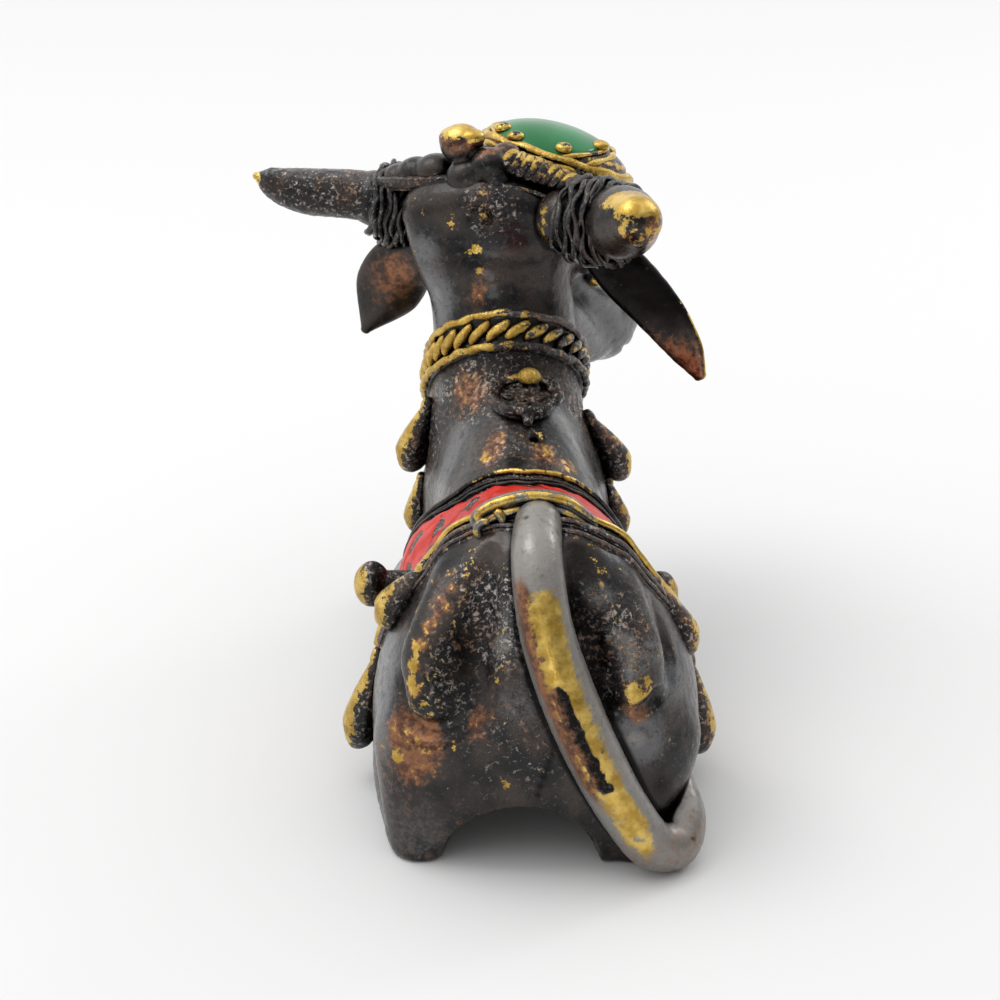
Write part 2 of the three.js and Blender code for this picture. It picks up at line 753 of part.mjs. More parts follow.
const bull = fuse([
  bareBody,
  dewlap,
  ...skull(),
  ...eyes(),
  ...['left', 'right'].flatMap((name) => [horn(name), hornWrap(name), ear(name)]),
  ...crest(),
  cap(),
  cloth(),
  tailScroll(),
  ...clothBells(),
  collar(),
  ...neckBells(),
  rosette(),
  tail(),
])
  .subtract(fuse(nostrils()))
  .subtract(arch())
  .subtract(ground());

const patinatedBrass = new THREE.MeshStandardMaterial({ color: 0x3a2f29, roughness: 0.42, metalness: 0.85 });
const nandi = new THREE.Mesh(geometryOf(bull), patinatedBrass);
nandi.name = 'nandi';

const figurine = new THREE.Group();
figurine.add(nandi);

export default figurine;
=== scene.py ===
# %% [markdown]
# # A cast brass bull, lying down and dressed for a festival
# The real figurine is five centimetres long. A founder modelled it in wax, cast it in brass in one piece,
# darkened it, rubbed the high places back to yellow metal, and painted the saddle cloth and the cap. This
# lesson goes the same way: press masses of clay together, cut the creases, lay the trappings on, and then
# let the patina follow the shape. Lengths are in millimetres until a mesh is made.

import json
import math
from functools import partial
from types import SimpleNamespace

import bpy
import numpy as np
import openvdb
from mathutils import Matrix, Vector
from mathutils.bvhtree import BVHTree

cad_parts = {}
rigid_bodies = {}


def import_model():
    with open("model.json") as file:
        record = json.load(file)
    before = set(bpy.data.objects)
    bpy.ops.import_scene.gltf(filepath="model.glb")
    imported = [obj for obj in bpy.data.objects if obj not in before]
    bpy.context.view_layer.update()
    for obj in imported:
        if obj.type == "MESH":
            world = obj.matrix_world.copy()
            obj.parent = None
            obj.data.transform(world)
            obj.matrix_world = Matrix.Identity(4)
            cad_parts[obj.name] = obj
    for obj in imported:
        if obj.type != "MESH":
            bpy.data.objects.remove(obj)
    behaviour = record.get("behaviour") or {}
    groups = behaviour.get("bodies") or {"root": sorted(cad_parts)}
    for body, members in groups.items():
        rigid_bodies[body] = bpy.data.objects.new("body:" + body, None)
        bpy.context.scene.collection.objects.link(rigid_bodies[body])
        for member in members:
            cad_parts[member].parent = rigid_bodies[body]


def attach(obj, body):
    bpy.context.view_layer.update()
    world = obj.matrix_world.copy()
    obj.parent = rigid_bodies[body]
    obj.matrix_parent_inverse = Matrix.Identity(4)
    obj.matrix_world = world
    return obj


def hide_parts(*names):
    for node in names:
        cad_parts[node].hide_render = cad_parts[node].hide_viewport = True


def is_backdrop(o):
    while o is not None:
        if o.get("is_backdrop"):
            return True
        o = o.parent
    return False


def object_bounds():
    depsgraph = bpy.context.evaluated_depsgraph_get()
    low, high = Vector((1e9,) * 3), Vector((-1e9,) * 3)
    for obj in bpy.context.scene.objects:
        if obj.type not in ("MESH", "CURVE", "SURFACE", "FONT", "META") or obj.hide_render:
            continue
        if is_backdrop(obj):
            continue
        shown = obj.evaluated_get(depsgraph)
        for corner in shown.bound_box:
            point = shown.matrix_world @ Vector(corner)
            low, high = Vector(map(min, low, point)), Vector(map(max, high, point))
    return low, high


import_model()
solid_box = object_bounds()
MM = 0.001
LEFT, RIGHT = 1, -1  # the bull's own sides: its left is +X
rng = np.random.default_rng(7)
print("solid box, mm:", [[round(c / MM, 2) for c in corner] for corner in solid_box])

# %% [markdown]
# ## The camera
# The figure is seen from behind and a little above. A long lens from 20 cm away gives the photograph's calm
# perspective. The camera comes first, so that every later cell can be looked at in the right view.

# %% Set up the camera
AZIMUTH, ELEVATION = 178.0, 25.0
CAMERA_DISTANCE = 200.0
AIM = np.array([1.7, 0.0, 15.45])
FOCAL_PIXELS, IMAGE_PIXELS, SENSOR = 3080.0, 1000.0, 36.0

turn, rise = math.radians(AZIMUTH), math.radians(ELEVATION)
back = Vector((math.sin(turn) * math.cos(rise), -math.cos(turn) * math.cos(rise), math.sin(rise)))
lens = bpy.data.cameras.new("camera")
lens.sensor_width = SENSOR
lens.lens = FOCAL_PIXELS / IMAGE_PIXELS * SENSOR
lens.clip_start, lens.clip_end = 0.01, 10.0
camera = bpy.data.objects.new("camera", lens)
camera.location = (Vector(AIM) + back * CAMERA_DISTANCE) * MM
camera.rotation_mode = "QUATERNION"
camera.rotation_quaternion = (-back).to_track_quat("-Z", "Y")
bpy.context.scene.collection.objects.link(camera)
bpy.context.scene.camera = camera
print("lens, mm:", round(lens.lens, 1))

# %% [markdown]
# ## Smooth lines and closed forms
# Everything grows from a few places joined by a smooth line. A form is three arrays: points, four-sided
# faces and three-sided faces. A loft stretches a skin over rings of points and closes its two ends.

# %% Smooth lines


def unit(vectors):
    vectors = np.asarray(vectors, float)
    return vectors / np.maximum(np.linalg.norm(vectors, axis=-1, keepdims=True), 1e-9)


def line_through(places, count):
    """Evenly timed points on a smooth line through the given places, in any number of dimensions."""
    places = np.asarray(places, float)
    ends = 2 * places[[0, -1]] - places[[1, -2]]
    padded = np.vstack([ends[:1], places, ends[1:]])
    gaps = np.maximum(np.linalg.norm(np.diff(padded, axis=0), axis=1) ** 0.5, 1e-4)
    time = np.linspace(0, len(places) - 1, count)
    span = np.minimum(time.astype(int), len(places) - 2)
    t = (time - span)[:, None]
    p0, p1, p2, p3 = (padded[span + i] for i in range(4))
    d0, d1, d2 = (gaps[span + i][:, None] for i in range(3))
    leave = ((p1 - p0) / d0 - (p2 - p0) / (d0 + d1) + (p2 - p1) / d1) * d1
    arrive = ((p2 - p1) / d1 - (p3 - p1) / (d1 + d2) + (p3 - p2) / d2) * d1
    return (
        p1
        + leave * t
        + (3 * (p2 - p1) - 2 * leave - arrive) * t**2
        + (2 * (p1 - p2) + leave + arrive) * t**3
    )


def values_along(values, count):
    if np.isscalar(values):
        return np.full(count, float(values))
    return line_through([(i, value) for i, value in enumerate(values)], count)[:, 1]


def length_of(points):
    return np.linalg.norm(np.diff(points, axis=0), axis=1).sum()


def around(count):
    """Evenly spaced angles once round, in radians."""
    return np.linspace(0, 2 * np.pi, count, endpoint=False)


# %% Lofts and tubes
NO_TRIANGLES = np.zeros((0, 3), np.int64)


def volume_of(form):
    points, quads, triangles = form
    fans = np.vstack([quads[:, [0, 1, 2]], quads[:, [0, 2, 3]], triangles])
    a, b, c = (points[fans[:, i]] for i in range(3))
    return (a * np.cross(b, c)).sum() / 6


def loft(rings, hoop=False):
    """A skin over rings (ring, place, xyz). Its ends close on their middles, or it runs round as a hoop."""
    rings = np.asarray(rings, float)
    count, sides = rings.shape[:2]
    across = np.arange(sides)
    down = np.arange(count if hoop else count - 1)
    a = down[:, None] * sides + across
    b = down[:, None] * sides + (across + 1) % sides
    below = ((down + 1) % count)[:, None] * sides
    quads = np.stack([a, b, below + (across + 1) % sides, below + across], -1).reshape(-1, 4)
    points = rings.reshape(-1, 3)
    triangles = NO_TRIANGLES
    if not hoop:
        middles = rings[[0, -1]].mean(1)
        points = np.vstack([points, middles])
        first, last = np.arange(sides), np.arange(sides) + (count - 1) * sides
        tip = count * sides
        start = np.stack([np.roll(first, -1), first, np.full(sides, tip)], -1)
        end = np.stack([last, np.roll(last, -1), np.full(sides, tip + 1)], -1)
        triangles = np.vstack([start, end])
    form = (points, quads, triangles)
    if volume_of(form) < 0:
        form = (points, quads[:, ::-1], triangles[:, ::-1])
    return form


def joined(forms):
    points, quads, triangles, shift = [], [], [], 0
    for form in forms:
        points.append(form[0])
        quads.append(form[1] + shift)
        triangles.append(form[2] + shift)
        shift += len(form[0])
    return np.vstack(points), np.vstack(quads), np.vstack(triangles)


ROUND_END = np.radians([84, 72, 58, 44, 30, 16])
CORD_END_REACH, CORD_END_WIDTH = 0.7, 0.55  # shares of a cord's radius at its two rounded ends


def limb(through, wide, deep=None, up=(0, 0, 1), sides=28, spacing=0.35, ends=(1, 1), bend=0.0):
    """A rounded mass along a smooth line. bend hollows its section, as a leaf is hollow."""
    deep = wide if deep is None else deep
    count = max(6, int(length_of(line_through(through, 60)) / spacing))
    middles = line_through(through, count)
    half_wide, half_deep = values_along(wide, count), values_along(deep, count)
    tangents = unit(np.gradient(middles, axis=0))
    across = unit(np.cross(tangents, up))
    over = unit(np.cross(across, tangents))
    angle = around(sides)
    order, shrink, push = list(range(count)), [1.0] * count, [0.0] * count
    for end, index, sign in ((ends[0], 0, -1), (ends[1], count - 1, 1)):
        if not end:
            continue
        reach = min(half_wide[index], half_deep[index]) * end
        caps = [(index, math.cos(a), sign * reach * math.sin(a)) for a in ROUND_END]
        if sign > 0:
            caps.reverse()
        at = 0 if sign < 0 else len(order)
        order[at:at] = [c[0] for c in caps]
        shrink[at:at] = [c[1] for c in caps]
        push[at:at] = [c[2] for c in caps]
    order, shrink, push = np.array(order), np.array(shrink), np.array(push)
    centre = middles[order] + tangents[order] * push[:, None]
    half_wide, half_deep = half_wide[order] * shrink, half_deep[order] * shrink
    lift = half_deep[:, None] * np.sin(angle) + bend * half_wide[:, None] * (np.cos(angle) ** 2 - 0.5)
    rings = (
        centre[:, None]
        + across[order][:, None] * (half_wide[:, None] * np.cos(angle))[..., None]
        + over[order][:, None] * lift[..., None]
    )
    return loft(rings)


def cord(path, radius, sides=8, hoop=False):
    """A tube along a crowded path. Its frame is carried along without twisting."""
    path = np.asarray(path, float)
    count = len(path)
    if hoop:
        tangents = unit(np.roll(path, -1, 0) - np.roll(path, 1, 0))
    else:
        tangents = unit(np.gradient(path, axis=0))
    side = np.cross(tangents[0], (0.31, 0.2, 0.93))
    across = np.zeros_like(path)
    for i, tangent in enumerate(tangents):
        side = side - tangent * (side @ tangent)
        side /= np.linalg.norm(side)
        across[i] = side
    over = np.cross(tangents, across)
    if hoop:
        end = np.cross(tangents[0], np.cross(side, tangents[0]))
        slip = math.atan2(unit(end) @ over[0], unit(end) @ across[0])
        ease = -slip * np.arange(count) / count
        across, over = (
            across * np.cos(ease)[:, None] + over * np.sin(ease)[:, None],
            over * np.cos(ease)[:, None] - across * np.sin(ease)[:, None],
        )
    radii = np.broadcast_to(radius, count)[:, None]
    if not hoop:
        before = path[:1] - tangents[:1] * radii[0] * CORD_END_REACH
        after = path[-1:] + tangents[-1:] * radii[-1] * CORD_END_REACH
        path = np.vstack([before, path, after])
        across = np.vstack([across[:1], across, across[-1:]])
        over = np.vstack([over[:1], over, over[-1:]])
        radii = np.vstack([radii[:1] * CORD_END_WIDTH, radii, radii[-1:] * CORD_END_WIDTH])
    angle = around(sides)
    round_it = across[:, None] * np.cos(angle)[:, None] + over[:, None] * np.sin(angle)[:, None]
    return loft(path[:, None] + round_it * radii[:, None], hoop)


def turned(points, tilt=0, turn=0):
    """Turns points about X by tilt degrees, then about Z by turn degrees."""
    c, s = math.cos(math.radians(tilt)), math.sin(math.radians(tilt))
    points = np.asarray(points, float) @ np.array([[1, 0, 0], [0, c, -s], [0, s, c]]).T
    c, s = math.cos(math.radians(turn)), math.sin(math.radians(turn))
    return points @ np.array([[c, -s, 0], [s, c, 0], [0, 0, 1]]).T


def egg(centre, radii, tilt=0, turn=0, sides=20, rows=12):
    """An egg that may be turned about X and then about Z."""
    fall = np.linspace(0, np.pi, rows + 1)[1:-1, None]
    angle = around(sides)
    level = np.cos(fall) + 0 * angle
    rings = np.stack([np.sin(fall) * np.cos(angle), np.sin(fall) * np.sin(angle), level], -1)
    points, quads, triangles = loft(rings)
    points[-2:] = [(0, 0, 1), (0, 0, -1)]
    return turned(points * np.asarray(radii), tilt, turn) + np.asarray(centre), quads, triangles


# %% [markdown]
# ## Clay
# A sculptor presses lumps together and the joins flow. Here the clay is a block of distances to the
# surface: pressing a mass in keeps the nearer surface and rounds the seam, and cutting keeps the farther
# one. Blender ships with OpenVDB, which measures the distances and draws one clean skin round the result.

# %% The block of clay


class Clay:
    """A block of distances, in millimetres, from a surface that is pressed and cut into shape."""

    def __init__(self, low, high, grain, band=1.4):
        """The block runs from low to high. Distances are kept up to band, in cells of one grain."""
        self.grain, self.band = grain, band
        self.first = np.floor(np.array(low) / grain).astype(int)
        size = np.ceil(np.array(high) / grain).astype(int) - self.first
        self.distance = np.full(size, band, np.float32)

    def near(self, form):
        """The part of the block round a form, and the distances to the form there."""
        points, quads, triangles = form
        grid = openvdb.FloatGrid.createLevelSetFromPolygons(
            np.ascontiguousarray(points, np.float32),
            triangles=np.ascontiguousarray(triangles, np.uint32),
            quads=np.ascontiguousarray(quads, np.uint32),
            transform=openvdb.createLinearTransform(voxelSize=self.grain),
            halfWidth=self.band / self.grain,
        )
        reach = self.band + 2 * self.grain
        low = np.floor((points.min(0) - reach) / self.grain).astype(int) - self.first
        high = np.ceil((points.max(0) + reach) / self.grain).astype(int) - self.first
        low, high = np.maximum(low, 0), np.minimum(high, self.distance.shape)
        found = np.full(high - low, self.band, np.float32)
        grid.copyToArray(found, ijk=tuple(int(i) for i in low + self.first))
        return tuple(slice(a, b) for a, b in zip(low, high)), found

    def press(self, form, soft=0.5):
        where, new = self.near(form)
        old = self.distance[where]
        share = np.clip(0.5 + 0.5 * (old - new) / soft, 0, 1)
        blend = old * (1 - share) + new * share - soft * share * (1 - share)
        far = self.band * 0.999
        self.distance[where] = np.where((new >= far) | (old >= far), np.minimum(old, new), blend)

    def cut(self, form, soft=0.2):
        where, new = self.near(form)
        self.trim(-new, where, soft)

    def trim(self, new, where=(slice(None),) * 3, soft=0.2):
        old = self.distance[where]
        share = np.clip(0.5 - 0.5 * (old - new) / soft, 0, 1)
        self.distance[where] = old * (1 - share) + new * share + soft * share * (1 - share)

    def places(self):
        """The coordinates of the block's cells, as three thin arrays that combine."""
        lines = [(np.arange(n) + f) * self.grain for n, f in zip(self.distance.shape, self.first)]
        return lines[0][:, None, None], lines[1][None, :, None], lines[2][None, None, :]

    def skin(self):
        grid = openvdb.FloatGrid(self.band)
        grid.transform = openvdb.createLinearTransform(voxelSize=self.grain)
        flat = np.clip(self.distance, -self.band, self.band).astype(np.float32)
        grid.copyFromArray(flat, ijk=tuple(int(i) for i in self.first))
        points, quads = grid.convertToQuads(0.0)
        form = (points.astype(float), quads.astype(np.int64), NO_TRIANGLES)
        return form if volume_of(form) > 0 else (form[0], form[1][:, ::-1], form[2])


# %% Smoothing, normals and noise


def edges_of(form):
    pairs = [form[1][:, [i, (i + 1) % 4]] for i in range(4)]
    pairs += [form[2][:, [i, (i + 1) % 3]] for i in range(3)]
    pairs = np.sort(np.vstack(pairs), 1)
    pairs = pairs[pairs[:, 0] != pairs[:, 1]]
    return np.unique(pairs[:, 0] * (len(form[0]) + 1) + pairs[:, 1])


def relaxed(form, values, times, strength=0.5):
    """Values spread over the skin: each takes on a share of its neighbours' mean."""
    count = len(form[0])
    keys = edges_of(form)
    a, b = keys // (count + 1), keys % (count + 1)
    weight = np.maximum(np.bincount(a, minlength=count) + np.bincount(b, minlength=count), 1)
    values = np.array(values, float)
    columns = values.reshape(count, -1)
    for _ in range(times):
        for c in range(columns.shape[1]):
            near = np.bincount(a, columns[b, c], count) + np.bincount(b, columns[a, c], count)
            columns[:, c] += strength * (near / weight - columns[:, c])
    return columns.reshape(values.shape)


def normals_of(form):
    points, quads, triangles = form
    total = np.zeros_like(points)
    a, b, c, d = (points[quads[:, i]] for i in range(4))
    of_quads = np.cross(c - a, d - b)
    a, b, c = (points[triangles[:, i]] for i in range(3))
    of_triangles = np.cross(b - a, c - a)
    for faces, direction in ((quads, of_quads), (triangles, of_triangles)):
        for corner in range(faces.shape[1]):
            for axis in range(3):
                total[:, axis] += np.bincount(faces[:, corner], direction[:, axis], len(points))
    return unit(total)


def noise(points, size, seed=0):
    """Soft random values from -1 to 1 that change over about one size."""
    place = np.asarray(points, float) / size + 37.1 * seed
    cell = np.floor(place).astype(np.int64)
    part = place - cell
    part = part * part * (3 - 2 * part)
    total = np.zeros(len(place))
    for corner in range(8):
        step = np.array([corner & 1, corner >> 1 & 1, corner >> 2 & 1])
        key = (cell + step) @ np.array([73856093, 19349663, 83492791]) + seed * 7919
        key = (key ^ (key >> 13)) * 1274126177 & 0xFFFFFFFF
        value = ((key ^ (key >> 16)) & 0xFFFF) / 32767.5 - 1
        total += value * np.where(step, part, 1 - part).prod(1)
    return total


def rough(points, size, seed=0):
    """Noise with two finer noises on it, each half as large and half as strong."""
    return sum(noise(points, size / 2**i, seed + 11 * i) / 2**i for i in range(3)) / 1.6


def smooth_step(low, high, value):
    """0 at low and 1 at high, with soft ends; low may be the greater of the two."""
    t = np.clip((value - low) / (high - low), 0, 1)
    return t * t * (3 - 2 * t)


def touches(points, spots):
    """How strongly spots of wear, painted shade and painted sheen, each (x, y, z, reach, strength), touch each
    point.
    """
    total = np.zeros(len(points))
    for *centre, reach, strength in spots:
        total += strength * np.exp(-(((points - centre) / reach) ** 2).sum(1))
    return total


# %% [markdown]
# ## The body
# The trunk is a row of sections, broad low down and narrow along the back. Thighs, hocks, shoulders and
# folded legs are rounded masses pressed into it. Box modelling would need care at every join, while clay
# closes them by itself. All of these sizes are the cast solid's own.

# %% The trunk
HAUNCH_HALF_WIDTH, HAUNCH_LENGTH, HAUNCH_HEIGHT = 10.25, 16.0, 15.0
RUMP_TOP, SADDLE_TOP, HUMP_TOP = 20.7, 18.6, 21.3
FRONT_SHIFT = 0.7
BELLY = -1.2
TRUNK = [
    # y, top, half width, shift to the left, narrowing of the top
    (20.6, 6.4, 2.2, 0, 0.1),
    (20.4, 9.0, 4.0, 0, 0.1),
    (19.9, 11.8, 5.8, 0, 0.1),
    (19.1, 14.6, 7.3, 0, 0.14),
    (17.6, 17.6, 8.5, 0, 0.18),
    (15.6, 19.8, 9.1, 0, 0.2),
    (13.0, RUMP_TOP, 9.3, 0, 0.22),
    (9.5, 19.9, 9.0, 0, 0.22),
    (6.0, SADDLE_TOP, 8.4, 0, 0.2),
    (3.0, 18.9, 7.6, 0.2 * FRONT_SHIFT, 0.2),
    (0.0, 20.2, 6.9, 0.4 * FRONT_SHIFT, 0.24),
    (-3.0, HUMP_TOP, 6.5, 0.5 * FRONT_SHIFT, 0.26),
    (-5.6, 21.0, 6.2, 0.5 * FRONT_SHIFT, 0.24),
    (-8.5, 18.8, 6.1, 0.5 * FRONT_SHIFT, 0.18),
    (-12.0, 15.8, 6.0, 0.8 * FRONT_SHIFT, 0.12),
    (-15.2, 12.6, 5.6, FRONT_SHIFT, 0.08),
    (-17.2, 9.6, 4.0, FRONT_SHIFT, 0.05),
    (-18.1, 6.8, 2.4, FRONT_SHIFT, 0),
    (-18.5, 4.6, 1.2, FRONT_SHIFT, 0),
]


def trunk():
    y, top, half_width, shift, narrowing = line_through(TRUNK, 110)[:, :, None].transpose(1, 0, 2)
    angle = around(90)
    across = np.sign(np.cos(angle)) * np.abs(np.cos(angle)) ** 0.86
    x = shift + half_width * across * (1 - narrowing * np.sin(angle))
    z = (top + BELLY) / 2 + (top - BELLY) / 2 * np.sin(angle)
    return loft(np.stack([x, y + 0 * x, z], -1))


# %% The legs
HOCK_X = {LEFT: 7.2, RIGHT: -6.0}


def hind_leg(side):
    """Thigh, the fold that hangs down its back, hock and shank, each with the softness of its join."""
    hock = HOCK_X[side]
    inward = 0 if side == LEFT else 0.7
    thigh_half = 4.2
    outer = HAUNCH_HALF_WIDTH - (0.25 if side == LEFT else 0)
    yield 1.2, egg(
        (side * (outer - thigh_half), 11.8, 6.0),
        (thigh_half, HAUNCH_LENGTH / 2, HAUNCH_HEIGHT / 2 + 1.2),
        tilt=-12,
        sides=40,
        rows=28,
    )
    fold = [
        (3.9, 12.4, 17.6),
        (5.1 - inward, 14.9, 15.9),
        (6.3 - inward, 17.1, 13.2),
        (6.4 - inward, 18.1, 11.0),
    ]
    yield 0.6, limb([(side * x, y, z) for x, y, z in fold], [1.6, 1.85, 2.0, 1.8])
    heel = 17.6 if side == LEFT else 18.2
    heel_line = [(side * 7.2, 16.2, 6.8), (hock + side * 0.2, heel - 0.3, 3.4), (hock, heel, 0.4)]
    yield 0.9, limb(heel_line, [2.8, 2.2, 1.9])
    shank = [
        (hock + side * 0.5, 17.0, 1.3),
        (side * 8.6, 11.0, 1.2),
        (side * 8.8, 4.4, 1.3),
        (side * 8.7, 1.6, 0.8),
    ]
    yield 0.4, limb(shank, [1.7, 1.5, 1.4, 1.7], [1.8, 1.6, 1.7, 1.3])


def foreleg(side):
    """Shoulder, forearm to the knee in front, and the shank folded back under it."""
    middle = FRONT_SHIFT
    yield 1.2, egg((0.5 * middle + side * 3.9, -7.2, 10.4), (2.3, 4.4, 6.0), tilt=22, sides=30, rows=20)
    forearm = [(6.0, -5.0, 5.6), (6.3, -11.0, 3.8), (5.4, -16.0, 2.9), (5.0, -18.0, 2.6)]
    forearm = [(middle + side * x, y, z) for x, y, z in forearm]
    yield 0.6, limb(forearm, [2.3, 2.0, 1.8, 2.1], [3.0, 2.3, 2.1, 2.4])
    shank = [(4.4, -17.4, 1.1), (6.8, -11.0, 0.9), (7.4, -6.4, 0.9)]
    yield 0.3, limb([(middle + side * x, y, z) for x, y, z in shank], [1.4, 1.3, 1.5])


# %% The neck
NECK = {
    "through": [
        (0.7, -7.0, 13.6), (1.0, -10.2, 18.0), (0.9, -11.8, 21.6),
        (1.2, -12.6, 25.2), (1.7, -12.4, 28.6), (1.9, -12.0, 31.2),
    ],
    "wide": [5.6, 5.2, 4.9, 4.8, 5.5, 5.9],
    "deep": [6.6, 6.4, 5.8, 4.9, 4.0, 2.8],
    "up": (0, -1, 0.2),
    "sides": 64,
}
DEWLAP = {
    "through": [(0.8, -15.4, 14.4), (0.8, -16.6, 11.0), (0.7, -16.8, 6.6)],
    "wide": [1.2, 1.2, 1.5],
    "deep": [2.4, 2.2, 1.4],
    "up": (0, -1, 0),
}
COLLAR_CENTRE = np.array([0.95, -11.6, 19.6])
COLLAR_TILT = math.radians(46)
UP_THE_NECK = np.array([0, -math.sin(COLLAR_TILT), math.cos(COLLAR_TILT)])
OUT_AT_NAPE = np.array([0, math.cos(COLLAR_TILT), math.sin(COLLAR_TILT)])

# %% [markdown]
# The arch under the rump, the creases beside the tail and the slot behind the hump are cut out of the clay.
# Each crease is a thin limb laid along the surface: cutting it away leaves a groove with soft lips.

# %% Cuts in the body
ARCH = {"half_width": 5.0, "height": 4.45, "shift": 1.1, "rear": 22.0, "depth": 14.0}
CREASES = [
    # places along the crease, half width
    ([(-0.9, 20.6, 8.9), (-0.2, 20.9, 6.9), (0.3, 20.9, 4.9)], 0.22),
    ([(-3.4, 20.8, 8.4), (-4.0, 20.9, 6.6), (-4.8, 20.6, 5.0)], 0.18),
    ([(4.0, 20.4, 9.2), (3.4, 20.9, 7.0), (3.9, 20.9, 4.4)], 0.28),
    ([(-0.5, 0.5, 20.6), (-0.5, 0.3, 20.1), (-0.5, 0.1, 19.4)], 0.3),
]
VALLEYS = [
    # places along the bottom of the valley, half widths, how deep it may go under them
    (
        [(3.2, 15.6, 19.4), (3.6, 18.2, 16.6), (3.8, 19.8, 13.6), (3.9, 20.4, 11.4)],
        [0.7, 1.2, 1.25, 0.9],
        [0.5, 1.55, 1.7, 1.2],
    ),
    (
        [(-2.6, 15.8, 19.2), (-3.0, 18.4, 16.6), (-3.4, 20.0, 13.6), (-3.8, 20.6, 11.0)],
        [0.8, 1.25, 1.3, 1.0],
        [0.5, 1.6, 1.75, 1.3],
    ),
    ([(-7.4, 13.8, 17.0), (-8.0, 16.0, 14.4), (-8.2, 17.6, 11.8)], [0.5, 0.8, 0.5], [0.3, 0.5, 0.3]),
    ([(7.0, 13.2, 17.8), (7.9, 15.6, 15.2), (8.3, 16.9, 12.6)], [0.5, 0.7, 0.4], [0.3, 0.45, 0.3]),
]
FOLD_LIPS = [
    # places along the groove under the end of each fold, half width
    ([(8.3, 17.6, 11.6), (7.9, 18.6, 9.9), (6.6, 19.5, 9.3), (5.2, 20.0, 9.8), (4.2, 20.2, 10.9)], 0.62),
    ([(-4.3, 20.6, 11.8), (-5.0, 20.4, 10.9), (-6.0, 19.9, 10.5), (-7.0, 19.0, 11.2)], 0.4),
]
TAIL_HOLLOW = [(-6.4, 21.2, 7.0), (-7.2, 20.8, 5.8), (-7.8, 20.2, 4.6)]
SOFT_VALLEY, SOFT_CREASE, SOFT_LIP = 0.65, 0.35, 0.6  # how far each cut's edge is rounded
COLLAR_OVERLAP = 0.35  # head and body run past each other this far under the collar
BODY_GRAIN, HEAD_GRAIN, CREST_GRAIN, FLOWER_GRAIN = 0.21, 0.17, 0.11, 0.075


def arch():
    depth = np.linspace(0, 1, 40)[:, None]
    size = np.cos(depth * math.radians(84))
    angle = around(60)
    x = ARCH["shift"] + ARCH["half_width"] * size * np.cos(angle)
    z = ARCH["height"] * size * np.sin(angle)
    return loft(np.stack([x, ARCH["rear"] - depth * ARCH["depth"] + 0 * x, z], -1))


def beyond_collar(clay, side):
    """Distances past the collar's plane: side +1 keeps the body below it, -1 the head above it."""
    x, y, z = clay.places()
    along = (y - COLLAR_CENTRE[1]) * UP_THE_NECK[1] + (z - COLLAR_CENTRE[2]) * UP_THE_NECK[2]
    return (side * along - COLLAR_OVERLAP + 0 * x).astype(np.float32)


body_clay = Clay((-13.5, -20.5, -2.4), (13.5, 23.5, 27.0), BODY_GRAIN)
body_clay.press(trunk())
for side in (LEFT, RIGHT):
    for soft, form in [*hind_leg(side), *foreleg(side)]:
        body_clay.press(form, soft)
body_clay.press(limb(**NECK), 1.3)
body_clay.press(limb(**DEWLAP), 0.9)
body_clay.press(egg((4.7, 4.2, 11.4), (3.4, 5.0, 4.6), sides=32, rows=24), 1.2)
body_clay.cut(arch(), 0.5)
for places, half_wide, half_deep in VALLEYS:
    body_clay.cut(limb(places, half_wide, half_deep, up=(0, 0.9, 0.45), sides=24), SOFT_VALLEY)
for places, half_width in CREASES:
    body_clay.cut(limb(places, half_width, spacing=0.2, sides=12), SOFT_CREASE)
for places, half_width in FOLD_LIPS:
    body_clay.cut(limb(places, half_width, spacing=0.2, sides=16), SOFT_LIP)
body_clay.cut(limb(TAIL_HOLLOW, [0.5, 0.7, 0.4]), 0.4)
body_clay.trim(beyond_collar(body_clay, 1), soft=0.1)
body_clay.trim((-body_clay.places()[2] + 0 * body_clay.distance).astype(np.float32), soft=0.25)
body = body_clay.skin()
print("body faces:", len(body[1]))

# %% [markdown]
# ## The head
# The head has its own frame: left, forwards and up from the point between the horns. It is turned to the
# bull's right, so from behind only the muzzle's side shows. The face is finished all the same.

# %% The head's frame
HEAD_CENTRE = np.array([1.9, -13.0, 30.2])
HEAD_YAW, HEAD_ROLL = 33, 6


def head_directions(points):
    points = np.atleast_2d(np.asarray(points, float)) * (1, -1, 1)
    c, s = math.cos(math.radians(HEAD_ROLL)), math.sin(math.radians(HEAD_ROLL))
    rolled = points @ np.array([[c, 0, s], [0, 1, 0], [-s, 0, c]]).T
    return turned(rolled, 0, -HEAD_YAW)


def on_head(left, forwards, up):
    return head_directions((left, forwards, up))[0] + HEAD_CENTRE


def head_limb(places, wide, deep=None, **more):
    return limb([on_head(*place) for place in places], wide, deep, up=head_directions((0, 0, 1))[0], **more)


# %% [markdown]
# The skull is one long mass from the poll to the nose, with a muzzle and a jaw pressed under it. Brow,
# cheek, eye rims and lip are thin limbs, laid on while the clay is soft. They are listed for the left side
# and mirrored, and the nostrils and the mouth are cut last.

